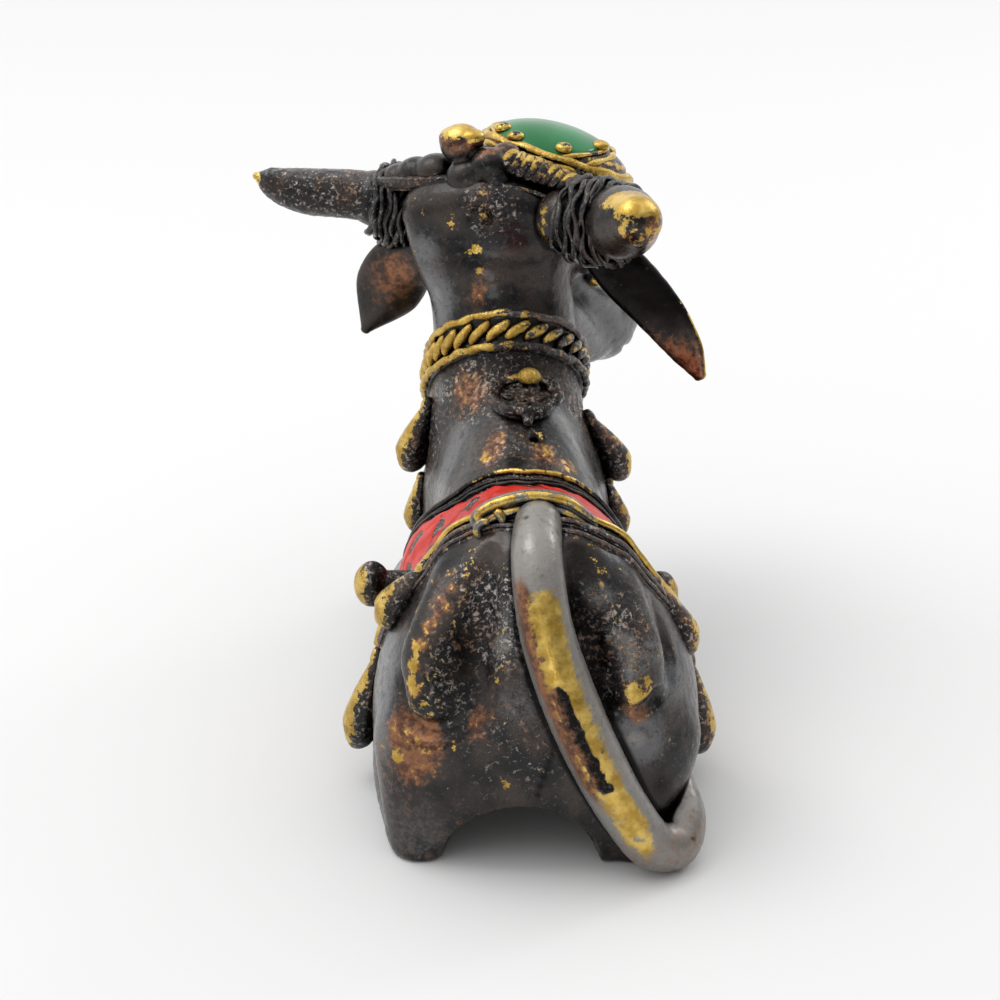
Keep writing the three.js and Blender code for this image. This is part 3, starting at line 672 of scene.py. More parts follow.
# %% The skull and face
SKULL = [
    # softness of the join, places (left, forwards, up), half widths, half depths, sides
    (
        0.9,
        [
            (0, -0.6, 0.1), (0, 2.4, -0.6), (0, 5.6, -2.0),
            (0, 8.6, -4.8), (0.1, 10.3, -8.0), (0.2, 11.5, -10.7),
        ],
        [5.2, 5.8, 5.5, 4.4, 3.2, 2.8],
        [3.0, 4.2, 4.8, 4.2, 3.2, 2.6],
        56,
    ),
    (0.7, [(0.2, 11.3, -9.9), (0.2, 12.6, -11.8)], [2.7, 3.0], [2.6, 2.6], 40),
    (0.7, [(0, 1.8, -6.0), (0, 6.4, -9.2), (0.1, 10.3, -12.4)], [3.6, 2.8, 2.1], [2.2, 1.9, 1.5], 28),
]
FEATURES = [
    # softness, places on the left side, half width: brow, cheekbone, upper and lower rim of the eye, lip
    (0.35, [(5.2, 5.0, -2.6), (4.8, 7.4, -2.7), (3.4, 9.0, -4.0)], 0.6),
    (0.5, [(4.6, 5.2, -5.6), (3.8, 8.0, -6.8), (2.9, 9.8, -8.4)], [0.6, 0.7, 0.4]),
    (0.2, [(4.9, 6.0, -4.2), (4.6, 7.5, -3.4), (3.9, 8.7, -4.6)], [0.25, 0.38, 0.25]),
    (0.2, [(4.9, 6.0, -4.3), (4.6, 7.3, -5.2), (3.9, 8.7, -4.8)], [0.22, 0.32, 0.22]),
    (0.3, [(2.5, 12.2, -10.4), (2.2, 13.6, -11.6), (1.2, 14.4, -12.6)], 0.6),
]
MOUTH_CORNER = [(3.0, 10.4, -12.0), (2.4, 12.4, -13.2), (1.0, 13.9, -13.9)]
MOUTH_FRONT = [(-1.1, 13.8, -13.9), (0.2, 14.2, -14.0), (1.4, 13.8, -13.9)]
MOUTH_WIDTH = 0.24
POLL = [(5.6, -12.6, 31.4), (2.0, -11.0, 32.4), (-1.8, -10.8, 31.6)]  # the ridge between the horns
NAPE_MARK, NAPE_MARK_RADIUS = np.array([2.6, -9.0, 31.6]), 0.62


def mirrored(places, side):
    return [(side * left, forwards, up) for left, forwards, up in places]


def face_cuts():
    """The nostrils and the line of the mouth."""
    for side in (LEFT, RIGHT):
        yield egg(on_head(0.2 + side * 1.6, 14.7, -11.0), (0.75, 0.9, 0.5), 40, -HEAD_YAW)
        yield head_limb(mirrored(MOUTH_CORNER, side), MOUTH_WIDTH)
    yield head_limb(MOUTH_FRONT, MOUTH_WIDTH)


def nape_ring():
    angle = around(40)
    path = NAPE_MARK + NAPE_MARK_RADIUS * np.stack([np.cos(angle), 0 * angle, np.sin(angle)], -1)
    return cord(path, 0.2, hoop=True)


head_clay = Clay((-9.5, -29.0, 12.0), (11.5, -3.0, 40.0), HEAD_GRAIN)
head_clay.press(limb(**NECK), 0.1)
head_clay.press(limb(POLL, [1.6, 2.2, 1.8], [1.5, 1.7, 1.4]), 1.2)
for soft, places, wide, deep, sides in SKULL:
    head_clay.press(head_limb(places, wide, deep, sides=sides), soft)
for side in (LEFT, RIGHT):
    for soft, places, wide in FEATURES:
        head_clay.press(head_limb(mirrored(places, side), wide), soft)
for form in [*face_cuts(), nape_ring()]:
    head_clay.cut(form, 0.2)
for side in (LEFT, RIGHT):
    head_clay.press(egg(on_head(side * 4.2, 7.4, -4.3), (0.95, 1.2, 0.85), 30, -HEAD_YAW), 0.08)
head_clay.trim(beyond_collar(head_clay, -1), soft=0.1)
head = head_clay.skin()
print("head faces:", len(head[1]))

# %% [markdown]
# ## Laying things on the hide
# The trappings follow the bull under them. A ray from outside finds the hide, and a piece is lifted off it
# by its own thickness, so nothing floats and nothing sinks, from whichever side it is seen.

# %% Rays onto the hide
hide = joined([body, head])
hide_tree = BVHTree.FromPolygons(hide[0].tolist(), hide[1].tolist())
FAR_OUT = 40  # mm from the middle: every ray starts well outside the bull


def on_hide(centre, direction, lift=0.0):
    """The outermost place of the bull from a centre along a direction, lifted off the hide."""
    centre, out = Vector(centre), Vector(direction).normalized()
    hit = hide_tree.ray_cast(centre + out * FAR_OUT, -out)[0]
    return np.array((hit if hit is not None else centre) + out * lift)


def beside(side, y, z, lift=0.0):
    """A place on the bull's flank at a height, lifted off the hide."""
    return on_hide((0 if side == LEFT else FRONT_SHIFT, y, z), (side, 0, 0), lift)


shapes = {"nandi_body": body, "nandi_head": head}

# %% [markdown]
# ## The horns
# The left horn runs straight out to a point with a flat top. The right one points at the viewer and ends in
# a blunt knob. A curve with a bevel would give a horn, but a limb's width and depth can be set apart at
# every place, and it is closed at both ends.

# %% Horns
HORN_THICKNESS = 1.9
HORN_ROOTS = {LEFT: on_head(6.2, -0.2, 0.3), RIGHT: on_head(-6.2, -0.6, 0.6)}
HORN_LINES = {
    LEFT: [
        HORN_ROOTS[LEFT],
        (10.6, -16.9, 30.5),
        (14.2, -17.3, 30.7),
        (15.8, -17.4, 31.05),
        (16.9, -17.45, 31.5),
        (17.6, -17.5, 31.75),
    ],
    RIGHT: [HORN_ROOTS[RIGHT], (-5.5, -7.6, 31.7), (-6.5, -4.8, 32.7), (-7.0, -2.9, 33.5)],
}
HORN_WIDE = {LEFT: [1, 0.95, 0.8, 0.6, 0.4, 0.12], RIGHT: [1.1, 1.2, 1.2, 0.9]}
HORN_DEEP = {LEFT: [0.88, 0.88, 0.83, 0.68, 0.46, 0.12], RIGHT: [1.1, 1.2, 1.25, 0.9]}
SIDE_NAME = {LEFT: "left", RIGHT: "right"}


def horn(side):
    wide = [share * HORN_THICKNESS for share in HORN_WIDE[side]]
    deep = [share * HORN_THICKNESS for share in HORN_DEEP[side]]
    return limb(HORN_LINES[side], wide, deep, sides=64, spacing=0.14)


# %% [markdown]
# Each horn's root is bound with curled strands of hair. They are cast, so a hair system would be the wrong
# tool: each strand is one thin closed cord round a swollen core, and slow waves make it wander as it goes
# round, so that no two strands run alike.

# %% Strands round the horn roots
STRANDS = {LEFT: 9, RIGHT: 12}
CUFF_BACK, CUFF_FRONT = {LEFT: -1.7, RIGHT: -2.9}, {LEFT: 1.9, RIGHT: 1.7}
CUFF_PLACE = {LEFT: 2, RIGHT: 20}  # how far along the horn's line, of 60 places, the binding sits
CUFF_CORE = [1.8, 2.45, 2.55, 2.45, 1.9]
STRAND_RADIUS = 0.2


def cuff_strands(side):
    line = line_through(HORN_LINES[side], 60)
    axis = unit(line[8] - line[0])
    across = unit(np.cross(axis, (0, 0, 1)))
    over = np.cross(across, axis)
    base = line[CUFF_PLACE[side]]
    first, last, strands = CUFF_BACK[side], CUFF_FRONT[side], STRANDS[side]
    angle = around(120)
    yield limb([base + axis * first, base + axis * last], CUFF_CORE, sides=48, spacing=0.2)
    for i in range(strands):
        place = (i + 0.5) / strands
        phase = rng.uniform(0, 2 * np.pi, 4)
        bulge = 2.15 + 0.62 * math.sin(math.pi * place) ** 0.6
        radius = bulge + 0.12 * np.sin(3 * angle + phase[0]) + 0.1 * np.sin(8 * angle + phase[1])
        slide = first + (last - first) * place
        slide = slide + 0.2 * np.sin(2 * angle + phase[2]) + 0.12 * np.sin(6 * angle + phase[3])
        round_it = across * np.cos(angle)[:, None] + over * np.sin(angle)[:, None]
        path = base + axis * slide[:, None] + round_it * radius[:, None]
        yield cord(path, STRAND_RADIUS + 0.05 * np.sin(5 * angle + phase[1]), sides=8, hoop=True)


for side in (LEFT, RIGHT):
    shapes[f"horn_{SIDE_NAME[side]}"] = horn(side)
    shapes[f"horn_hair_{SIDE_NAME[side]}"] = joined(cuff_strands(side))
print("strands round the horns:", sum(STRANDS.values()))

# %% [markdown]
# ## The ears
# Each ear is a leaf that hangs below its horn. A flat plane with a thickness would look like tin, so the
# ear is a limb too. Its section is bent, which hollows the leaf on its inner side, and a vein runs down the
# middle.

# %% Ears
EARS = {
    # places from root to tip, half widths, half depths, the way its flat faces, how hollow
    LEFT: (
        [(6.4, -14.6, 27.4), (7.9, -16.0, 25.6), (8.9, -16.4, 23.6), (10.4, -16.4, 20.9)],
        [1.3, 2.3, 2.3, 0.35],
        [0.9, 0.8, 0.6, 0.26],
        (0, 1, 0.1),
        -0.2,
    ),
    RIGHT: (
        [
            (-4.6, -10.2, 29.6),
            (-6.9, -8.9, 27.6),
            (-9.4, -7.4, 25.1),
            (-10.9, -6.3, 23.1),
            (-11.7, -5.7, 21.6),
        ],
        [1.3, 1.8, 1.6, 1.15, 0.45],
        [1.0, 0.9, 0.7, 0.5, 0.3],
        (0.45, 0.8, 0.4),
        0.2,
    ),
}


def ear(side):
    places, wide, deep, facing, hollow = EARS[side]
    blade = limb(places, wide, deep, up=facing, sides=56, spacing=0.14, bend=hollow)
    along = unit(np.subtract(places[-1], places[0]))
    inner = unit(np.cross(along, np.cross(along, facing)))
    vein = line_through(places, 60)[12:50] + inner * 0.5
    return joined([blade, cord(vein, 0.2 * np.sin(np.linspace(0.3, np.pi, len(vein))) + 0.05)])


for side in (LEFT, RIGHT):
    shapes[f"ear_{SIDE_NAME[side]}"] = ear(side)
print("ears:", [name for name in shapes if name.startswith("ear")])

# %% [markdown]
# ## The crest
# Between the horns sits a knot of buds. Balls that are only pushed into each other meet in hard creases, so
# they are pressed together in a small block of clay of its own, which is finer than the body's.

# %% The knot of buds
BUDS = [
    # centre, radii
    ((3.8, -12.0, 35.7), (1.45, 1.3, 1.35)),
    ((3.0, -11.4, 36.3), (0.75, 0.7, 0.6)),
    ((4.6, -12.3, 36.0), (0.7, 0.7, 0.7)),
    ((2.0, -10.7, 34.6), (1.35, 1.2, 1.25)),
    ((0.9, -11.4, 35.2), (0.95, 0.9, 0.75)),
    ((3.4, -11.0, 33.7), (1.5, 1.3, 1.3)),
    ((1.5, -10.2, 33.8), (0.9, 0.8, 0.7)),
    ((5.4, -13.0, 33.5), (1.5, 1.3, 1.2)),
    ((6.7, -14.0, 33.0), (1.4, 1.2, 1.15)),
    ((7.9, -15.0, 32.4), (1.1, 1.1, 0.95)),
]
SOFT_BUD = 0.18
crest_clay = Clay((0, -16.5, 30.5), (9.5, -9.0, 38.0), CREST_GRAIN, band=0.8)
for centre, radii in BUDS:
    crest_clay.press(egg(centre, radii, sides=28, rows=18), SOFT_BUD)
shapes["crest_buds"] = crest_clay.skin()
print("crest faces:", len(shapes["crest_buds"][1]))

# %% [markdown]
# A strap runs from the buds to the left horn and a plaited rope to the right one. The rope is two cords
# that wind round one line, half a turn apart, which is how a real rope is laid; both lie on plain limbs, so
# that no light comes through behind them.

# %% The strap and the rope
STRAP = [(9.4, -15.4, 31.9), (7.4, -13.0, 32.7), (4.6, -11.2, 33.4)]
STRAP_UP, STRAP_FACE = np.array([0.1, 0.25, 0.96]), (0, 0.3, 0)
STRAP_RIDGES, STRAP_RIDGE_RADIUS = (-0.38, -0.02, 0.36), 0.13
ROPE = [(0.9, -10.6, 35.0), (-2.1, -10.2, 33.95), (-4.9, -9.2, 32.7)]
ROPE_BED = [(0, 0.5, 0.5), (0, 0.5, 0.6), (0, 0.4, 0.6)]  # the rope, less this, is its bed
ROPE_RIDGES = [(1.2, -9.6, 33.4), (-1.0, -9.4, 32.9), (-3.2, -8.8, 32.1)]
ROPE_TURNS, ROPE_RADIUS = 5.5, 0.43


def plait(places, radius, turns):
    """Two strands twisted round a smooth line."""
    count = 150
    line = line_through(places, count)
    tangents = unit(np.gradient(line, axis=0))
    across = unit(np.cross(tangents, (0, 0, 1)))
    over = np.cross(across, tangents)
    twist = np.linspace(0, 2 * np.pi * turns, count)
    for start in (0, np.pi):
        angle = (twist + start)[:, None]
        path = line + radius * (across * np.cos(angle) + over * np.sin(angle))
        yield cord(path, radius * 1.12, sides=12)


strap_line = line_through(STRAP, 60)
ridge_line = line_through(ROPE_RIDGES, 60)
rope_bed = [np.subtract(place, inset) for place, inset in zip(ROPE, ROPE_BED)]
shapes["crest_strap"] = joined(
    [limb(STRAP, 0.45, 0.5, up=(0, 1, 0.3), sides=24, spacing=0.2)]
    + [cord(strap_line + STRAP_UP * lift + STRAP_FACE, STRAP_RIDGE_RADIUS) for lift in STRAP_RIDGES]
)
shapes["crest_rope"] = joined(
    [*plait(ROPE, ROPE_RADIUS, ROPE_TURNS), limb(rope_bed, 0.7, 0.9)]
    + [cord(ridge_line + (0, 0, drop), 0.17) for drop in (0.22, -0.25)]
)
print("crest pieces:", [name for name in shapes if name.startswith("crest")])

# %% [markdown]
# ## The cap
# In front of the crest a shallow dome lies in a brass rim. The founder left a pool on it for green enamel,
# with beads where the rim meets the paint. The cap is round, so rings do it best: its profile
# runs from under the skull up to the middle of the dome, and each place of it becomes one ring. The disc
# leans down to the bull's right and forwards, so right, forwards and up are its own directions.

# %% The cap
CAP_CENTRE = np.array([-2.55, -15.5, 33.05])
CAP_RIGHT = unit(np.array([-0.945, 0, -0.326]))
CAP_UP = unit(np.cross(CAP_RIGHT, (0, -0.963, -0.27)))
CAP_FORWARDS = np.cross(CAP_UP, CAP_RIGHT)
CAP_HALF_WIDTH, CAP_HALF_LENGTH, DOME_HEIGHT = 5.2, 4.7, 2.62
CAP_SIDES = 120


def on_cap(right, forwards, up):
    right, forwards, up = (np.asarray(v, float)[..., None] for v in np.broadcast_arrays(right, forwards, up))
    return CAP_CENTRE + right * CAP_RIGHT + forwards * CAP_FORWARDS + up * CAP_UP


def cap_place(across, up, angle):
    """A place on the cap: across is a share of its radius, up is a height over its rim."""
    return on_cap(CAP_HALF_WIDTH * across * np.cos(angle), CAP_HALF_LENGTH * across * np.sin(angle), up)


def dome_height(across):
    return DOME_HEIGHT * np.sqrt(np.maximum(1 - (across / 1.02) ** 2, 0)) ** 1.15


cap_angle = around(CAP_SIDES)
SHELL = [
    # share of the cap's radius, height over its rim
    (0.4, -5.6), (0.62, -3.6), (0.82, -1.8), (0.96, -0.7),
    (1.03, -0.15), (1.03, 0.2), (0.98, 0.5), (0.92, 0.62),
]
shell_profile = line_through(SHELL, 52)
dome_profile = [(across, dome_height(across)) for across in np.linspace(0.89, 0.02, 40)]
cap_rings = [cap_place(across, up, cap_angle) for across, up in [*shell_profile, *dome_profile]]
shapes["cap_shell"] = loft(cap_rings)

# %% [markdown]
# The enamel is a pool on the dome, nearer its left and back, so the brass shows widest at the front and
# right. It is a second loft that follows the dome a little above it. Its last rings dip into the brass, as
# wet paint draws a rounded edge.

# %% The pool of enamel, its rim and its beads
POOL_CENTRE, POOL_RADIUS = (-0.95, -0.75), 3.7
POOL_THICKNESS = 0.14
POOL_RINGS = 34
BEAD_ANGLES, BEAD_RADII = np.radians([-30, -82, -138, -165]), (0.6, 0.5, 0.36)


def enamel_pool():
    angle = around(110)
    reach = np.array([*np.linspace(0.02, 0.96, POOL_RINGS), 1.0, 1.005, 0.99])
    wobble = 1 + 0.012 * np.sin(5 * angle + 1) + 0.01 * np.sin(11 * angle)
    right = POOL_CENTRE[0] + POOL_RADIUS * reach[:, None] * np.cos(angle) * wobble
    forwards = POOL_CENTRE[1] + POOL_RADIUS * reach[:, None] * np.sin(angle) * wobble
    across = np.hypot(right / CAP_HALF_WIDTH, forwards / CAP_HALF_LENGTH)
    swell = np.array([*np.full(POOL_RINGS, POOL_THICKNESS), 0.1, 0.0, -0.25])[:, None]
    return loft(on_cap(right, forwards, dome_height(across) + swell))


def pool_edge(angle, out, lift):
    """A place near the pool's edge: out is a share of its radius, lift a height over the dome."""
    right = POOL_CENTRE[0] + POOL_RADIUS * out * np.cos(angle)
    forwards = POOL_CENTRE[1] + POOL_RADIUS * out * np.sin(angle)
    across = np.hypot(right / CAP_HALF_WIDTH, forwards / CAP_HALF_LENGTH)
    return on_cap(right, forwards, dome_height(across) + lift)


shapes["cap_enamel"] = enamel_pool()
edge_angle = around(160)
shapes["cap_rim"] = cord(pool_edge(edge_angle, 1.04, 0.1), 0.17 + 0.03 * np.sin(9 * edge_angle), hoop=True)
shapes["cap_beads"] = joined(egg(pool_edge(angle, 0.95, 0.24), BEAD_RADII, turn=-15) for angle in BEAD_ANGLES)
rim_waver = 0.05 * np.sin(11 * edge_angle)
shapes["cap_border"] = joined(
    [
        cord(cap_place(0.97 + 0 * edge_angle, 0.5 + rim_waver, edge_angle), 0.34, sides=10, hoop=True),
        cord(pool_edge(edge_angle, 1.17, 0.06), 0.2 + 0.05 * np.sin(13 * edge_angle), hoop=True),
    ]
)
print("cap pieces:", [name for name in shapes if name.startswith("cap")])

# %% [markdown]
# ## The collar
# A band lies round the neck in a plane that falls towards the chest: a rim above, a rim below, and a rope
# of leaning leaves between them. A plain ring would float over the nape and sink into the throat. So the
# neck's reach from the middle is measured once, for all directions, and every part of the collar is laid on
# it.

# %% The neck's reach in the collar's plane
bare = joined([trunk(), limb(**NECK)])
bare_tree = BVHTree.FromPolygons(bare[0].tolist(), bare[1].tolist() + bare[2].tolist())
COLLAR_ANGLES, COLLAR_SLIDES = 240, np.linspace(-1.8, 1.8, 13)
NAPE_SIDE = -0.2  # directions that point lower than this meet the chest, so they ask the bare neck instead
COLLAR_EVEN = 5  # each direction's reach is the mean of this many neighbours on either side


def collar_out(angle):
    return np.cos(angle)[..., None] * OUT_AT_NAPE + np.sin(angle)[..., None] * np.array([1.0, 0, 0])


def measured_reach():
    reach = np.zeros((len(COLLAR_SLIDES), COLLAR_ANGLES))
    for j, angle in enumerate(np.arange(COLLAR_ANGLES) * 2 * np.pi / COLLAR_ANGLES):
        out = collar_out(np.array(angle))
        tree = hide_tree if math.cos(angle) > NAPE_SIDE else bare_tree
        for i, slide in enumerate(COLLAR_SLIDES):
            middle = COLLAR_CENTRE + UP_THE_NECK * slide
            hit = tree.ray_cast(Vector(middle + out * FAR_OUT), Vector(-out))[0]
            reach[i, j] = (np.array(hit) - middle) @ out
    shifts = range(-COLLAR_EVEN, COLLAR_EVEN + 1)
    return sum(np.roll(reach, shift, 1) for shift in shifts) / len(shifts)


collar_reach = measured_reach()


def grid_place(value, steps):
    """Where a value falls on a row of even steps, kept inside the last of them."""
    return np.clip((value - steps[0]) / (steps[1] - steps[0]), 0, len(steps) - 1.01)


def collar_place(angle, slide, lift):
    """A place on the collar. Angle 0 is the nape, a quarter turn the bull's left; slide goes up the neck."""
    angle, slide, lift = (np.asarray(v, float) for v in np.broadcast_arrays(angle, slide, lift))
    column = (angle / (2 * np.pi)) % 1 * COLLAR_ANGLES
    row = grid_place(slide, COLLAR_SLIDES)
    j, i = column.astype(int) % COLLAR_ANGLES, row.astype(int)
    v, u = column % 1, row - i
    k = (j + 1) % COLLAR_ANGLES
    lower = collar_reach[i, j] * (1 - v) + collar_reach[i, k] * v
    upper = collar_reach[i + 1, j] * (1 - v) + collar_reach[i + 1, k] * v
    reach = lower * (1 - u) + upper * u + lift
    return COLLAR_CENTRE + slide[..., None] * UP_THE_NECK + reach[..., None] * collar_out(angle)


# %% Band, rims and rope of the collar
COLLAR_STROKES = 34
RIM_SLIDE, RIM_LIFT, RIM_RADIUS = 1.03, 0.36, 0.27
STROKE_LEAN, STROKE_HALF_HEIGHT = 0.075, 0.66
round_neck = around(400)
BAND_SECTION = [
    # slide up the neck, lift off the hide
    (-1.25, -0.6), (-1.28, 0.05), (-1.1, 0.3), (-0.75, 0.16),
    (0.75, 0.16), (1.1, 0.3), (1.28, 0.05), (1.25, -0.6),
]


def collar_band():
    section = line_through(BAND_SECTION, 40)
    return loft(collar_place(round_neck[:, None], section[:, 0], section[:, 1]), hoop=True)


def collar_rim(slide, phase):
    waver = 0.05 * np.sin(23 * round_neck + phase) + 0.04 * np.sin(9 * round_neck + 2 * phase)
    thick = RIM_RADIUS + 0.03 * np.sin(34 * round_neck + phase)
    return cord(collar_place(round_neck, slide + waver, RIM_LIFT), thick, sides=10, hoop=True)


def collar_strokes():
    """Leaning leaves, thick in the middle, that read as one twisted rope."""
    along = np.linspace(-1, 1, 13)
    for i in range(COLLAR_STROKES):
        angle = 2 * np.pi * (i + 0.5) / COLLAR_STROKES
        lean = STROKE_LEAN + 0.03 * math.cos(angle) + rng.normal(0, 0.006)
        slanted = angle - lean * along - 0.02 * np.sin(np.pi * along)
        path = collar_place(slanted, STROKE_HALF_HEIGHT * along, 0.3 + 0.12 * (1 - along**2))
        yield cord(path, (0.1 + 0.24 * (1 - along**2) ** 0.7) * rng.uniform(0.9, 1.08), sides=10)


shapes["collar_band"] = collar_band()
shapes["collar_rim_upper"] = collar_rim(RIM_SLIDE, 0.4)
shapes["collar_rim_lower"] = collar_rim(-RIM_SLIDE, 1.9)
shapes["collar_rope"] = joined(collar_strokes())
print("collar pieces:", [name for name in shapes if name.startswith("collar")])

# %% [markdown]
# ## Bells
# Bells hang from the collar and the cloth. Each is a long drop with a loop at the top and a slit across its
# mouth. A spin of one profile gives the drop; the slit is pushed into the same rings, so that a bell stays
# one closed skin without a boolean.

# %% One bell
BELL_PROFILE = [
    # share of the length, share of the radius
    (-0.03, 0.05), (0.0, 0.34), (0.08, 0.42), (0.14, 0.38), (0.2, 0.46),
    (0.34, 0.66), (0.5, 0.86), (0.62, 0.97), (0.68, 1.01), (0.72, 1.02),
    (0.76, 0.99), (0.82, 0.92), (0.9, 0.72), (0.96, 0.46), (1.0, 0.1),
]
SLIT_START, SLIT_WIDTH, SLIT_DEPTH = 0.78, 0.24, 0.34  # shares of the length and of the radius


def bell(top, mouth, radius):
    """A crotal bell from its loop to its mouth."""
    top, mouth = np.asarray(top, float), np.asarray(mouth, float)
    axis = mouth - top
    length = np.linalg.norm(axis) + radius * 0.6
    axis = unit(axis)
    across = unit(np.cross(axis, (0, 1, 0.02)))
    over = np.cross(across, axis)
    angle = around(48)
    profile = line_through(BELL_PROFILE, 64)
    down = profile[:, 0][:, None] * length
    slit = np.exp(-((np.sin(angle) / SLIT_WIDTH) ** 2))
    slit = slit * np.clip((profile[:, 0][:, None] - SLIT_START) / 0.1, 0, 1)
    reach = profile[:, 1][:, None] * radius * (1 - SLIT_DEPTH * slit)
    points = (
        top
        + axis * (down - slit * 0.1)[..., None]
        + across * (reach * np.cos(angle))[..., None]
        + over * (reach * np.sin(angle))[..., None]
    )
    return loft(points)


def hanging_bell(side, y, top, bottom, radius, proud=0.45):
    """A bell on the flank or shoulder: its mouth stands off the hide by a share of its radius."""
    return bell(beside(side, y, top, 0.1 * radius), beside(side, y, bottom, proud * radius), radius)


# %% All the bells
NECK_BELLS = [
    # side, y, top, bottom, radius, how proud of the hide
    (LEFT, -8.6, 18.9, 14.4, 1.2, 0.9),
    (RIGHT, -8.6, 17.8, 13.5, 1.2, 1.0),
    (LEFT, -7.6, 13.9, 10.2, 1.0, 0.3),
    (RIGHT, -7.6, 13.4, 9.6, 1.0, 0.5),
    (LEFT, -13.2, 13.6, 9.2, 1.1, 0.45),
    (RIGHT, -13.2, 13.6, 9.2, 1.1, 0.45),
]
CLOTH_BELLS = [
    # the same facts, from the rump forwards
    (LEFT, 11.6, 16.6, 13.0, 1.35, 0.3),
    (RIGHT, 12.0, 15.6, 10.9, 1.3, -0.2),
    (LEFT, 8.6, 9.2, 2.8, 1.25, 1.3),
    (RIGHT, 8.6, 8.6, 2.0, 1.25, 0.55),
    (LEFT, 3.6, 9.4, 4.2, 1.2, 0.45),
    (RIGHT, 3.6, 9.4, 4.2, 1.2, 0.45),
]
for i, facts in enumerate(NECK_BELLS):
    shapes[f"neck_bell_{i}"] = hanging_bell(*facts)
for i, facts in enumerate(CLOTH_BELLS):
    shapes[f"cloth_bell_{i}"] = hanging_bell(*facts)
chest = on_hide((FRONT_SHIFT, -10, 10.6), (0, -1, 0), 0.7)
shapes["chest_bell"] = bell((FRONT_SHIFT, chest[1] + 0.3, 12.8), (FRONT_SHIFT, chest[1] - 0.3, 8.4), 1.4)

# %% The bosses on the cloth, each on a short root
BOSS_RADII = (1.15, 1.2, 1.5)
BOSSES = {
    # the middle of the boss, the place in the hide where its root starts
    LEFT: (np.array([10.0, 8.4, 13.7]), beside(LEFT, 8.4, 13.5, -0.4)),
    RIGHT: (beside(RIGHT, 7.0, 12.0, 0.2), beside(RIGHT, 7.0, 12.0, -0.4)),
}
for side, (boss, root) in BOSSES.items():
    parts = [egg(boss, BOSS_RADII, sides=40, rows=28), limb([root, boss], [1.0, 0.9], sides=24)]
    shapes[f"cloth_boss_{SIDE_NAME[side]}"] = joined(parts)
print("bells and bosses:", sum("bell" in name or "boss" in name for name in shapes))

# %% [markdown]
# ## The flower on the hump
# A scrolled ring lies on the hump, with curls inside it and a knob on its upper side. Sculpting it in place
# would be slow to repeat, so it is pressed together from cords in its own small block of fine clay, lying
# flat, and then tilted onto the hump.

# %% The rosette
ROSETTE_LEAN = -9
RING_RADIUS, RING_FLATTENING, RING_LIFT, RING_THICKNESS = 2.1, 0.94, 0.34, 0.4
CURLS, CURL_RADIUS, CURL_TURNS, CURL_THICKNESS, CURL_LIFT = 5, 0.5, 1.4, 0.17, 0.35
KNOB = (-0.35, -1.35, 0.85)
SOFT_SCROLL = 0.08
rosette_clay = Clay((-3.4, -3.4, -1.4), (3.4, 3.6, 2.2), FLOWER_GRAIN, band=0.6)
rosette_clay.press(egg((0, 0, -0.2), (2.2, 2.1, 0.6), sides=40), 0.1)


def curl(centre, start):
    """A cord that winds inwards, like the end of a fern."""
    t = np.linspace(0, 1, 60)
    angle = start + CURL_TURNS * 2 * np.pi * t
    reach = CURL_RADIUS * (1 - 0.75 * t)
    x, y = centre[0] + reach * np.cos(angle), centre[1] + reach * np.sin(angle)
    return cord(np.stack([x, y, CURL_LIFT + 0.15 * t], -1), CURL_THICKNESS * (1 - 0.3 * t), sides=8)


ring_angle = around(160)
ring_reach = RING_RADIUS + 0.09 * np.sin(7 * ring_angle) + 0.06 * np.sin(12 * ring_angle + 1)
ring_x, ring_y = ring_reach * np.cos(ring_angle), RING_FLATTENING * ring_reach * np.sin(ring_angle)
ring = np.stack([ring_x, ring_y, RING_LIFT + 0 * ring_angle], -1)
ring_thickness = RING_THICKNESS + 0.05 * np.sin(9 * ring_angle)
rosette_clay.press(cord(ring, ring_thickness, sides=14, hoop=True), SOFT_SCROLL)
for start in np.arange(CURLS) * 2 * np.pi / CURLS + 0.3:
    middle = (1.0 * math.cos(start), 0.92 * math.sin(start))
    rosette_clay.press(curl(middle, start + 2.4), 0.05)
rosette_clay.press(egg((0, 0.05, 0.45), (0.42, 0.42, 0.42)), SOFT_SCROLL)
rosette_clay.press(egg(KNOB, (0.78, 0.66, 0.66), sides=28, rows=18), SOFT_SCROLL)
rosette_clay.press(egg((-0.1, 2.5, 0.05), (0.36, 0.5, 0.35)), 0.1)
rosette_centre = on_hide((0.0, -3.5, 10), (0, 0.05, 1))
flower = rosette_clay.skin()
shapes["hump_flower"] = (turned(flower[0], ROSETTE_LEAN) + rosette_centre, *flower[1:])
print("flower faces:", len(flower[1]))

# %% [markdown]
# ## The saddle cloth
# The cloth hangs over the back, cast with the bull, so no cloth simulation is wanted: it only has to follow
# the hide. Fall is 0 on the spine and 1 at the hem, on either side; share is 0 at its front edge and 1 at
# its rear edge. Again the reach of the hide is measured once, on a grid of directions.

# %% The cloth's grid
CLOTH_CENTRE_Z = 9.5
HEM_ANGLE, HEM_DROP = 86, 16  # degrees from straight up to the hem's ends; its middle hangs lower
CLOTH_REAR = {LEFT: [13.9, 12.6, 11.9, 10.8, 9.4], RIGHT: [13.9, 13.6, 12.9, 11.6, 9.8]}
CLOTH_FRONT = {LEFT: [3.8, 3.0, 2.0, 1.2, 0.6], RIGHT: [3.8, 3.5, 3.0, 2.2, 1.2]}
CLOTH_FALLS, CLOTH_SHARES = np.linspace(-1.06, 1.06, 107), np.linspace(-0.1, 1.2, 53)


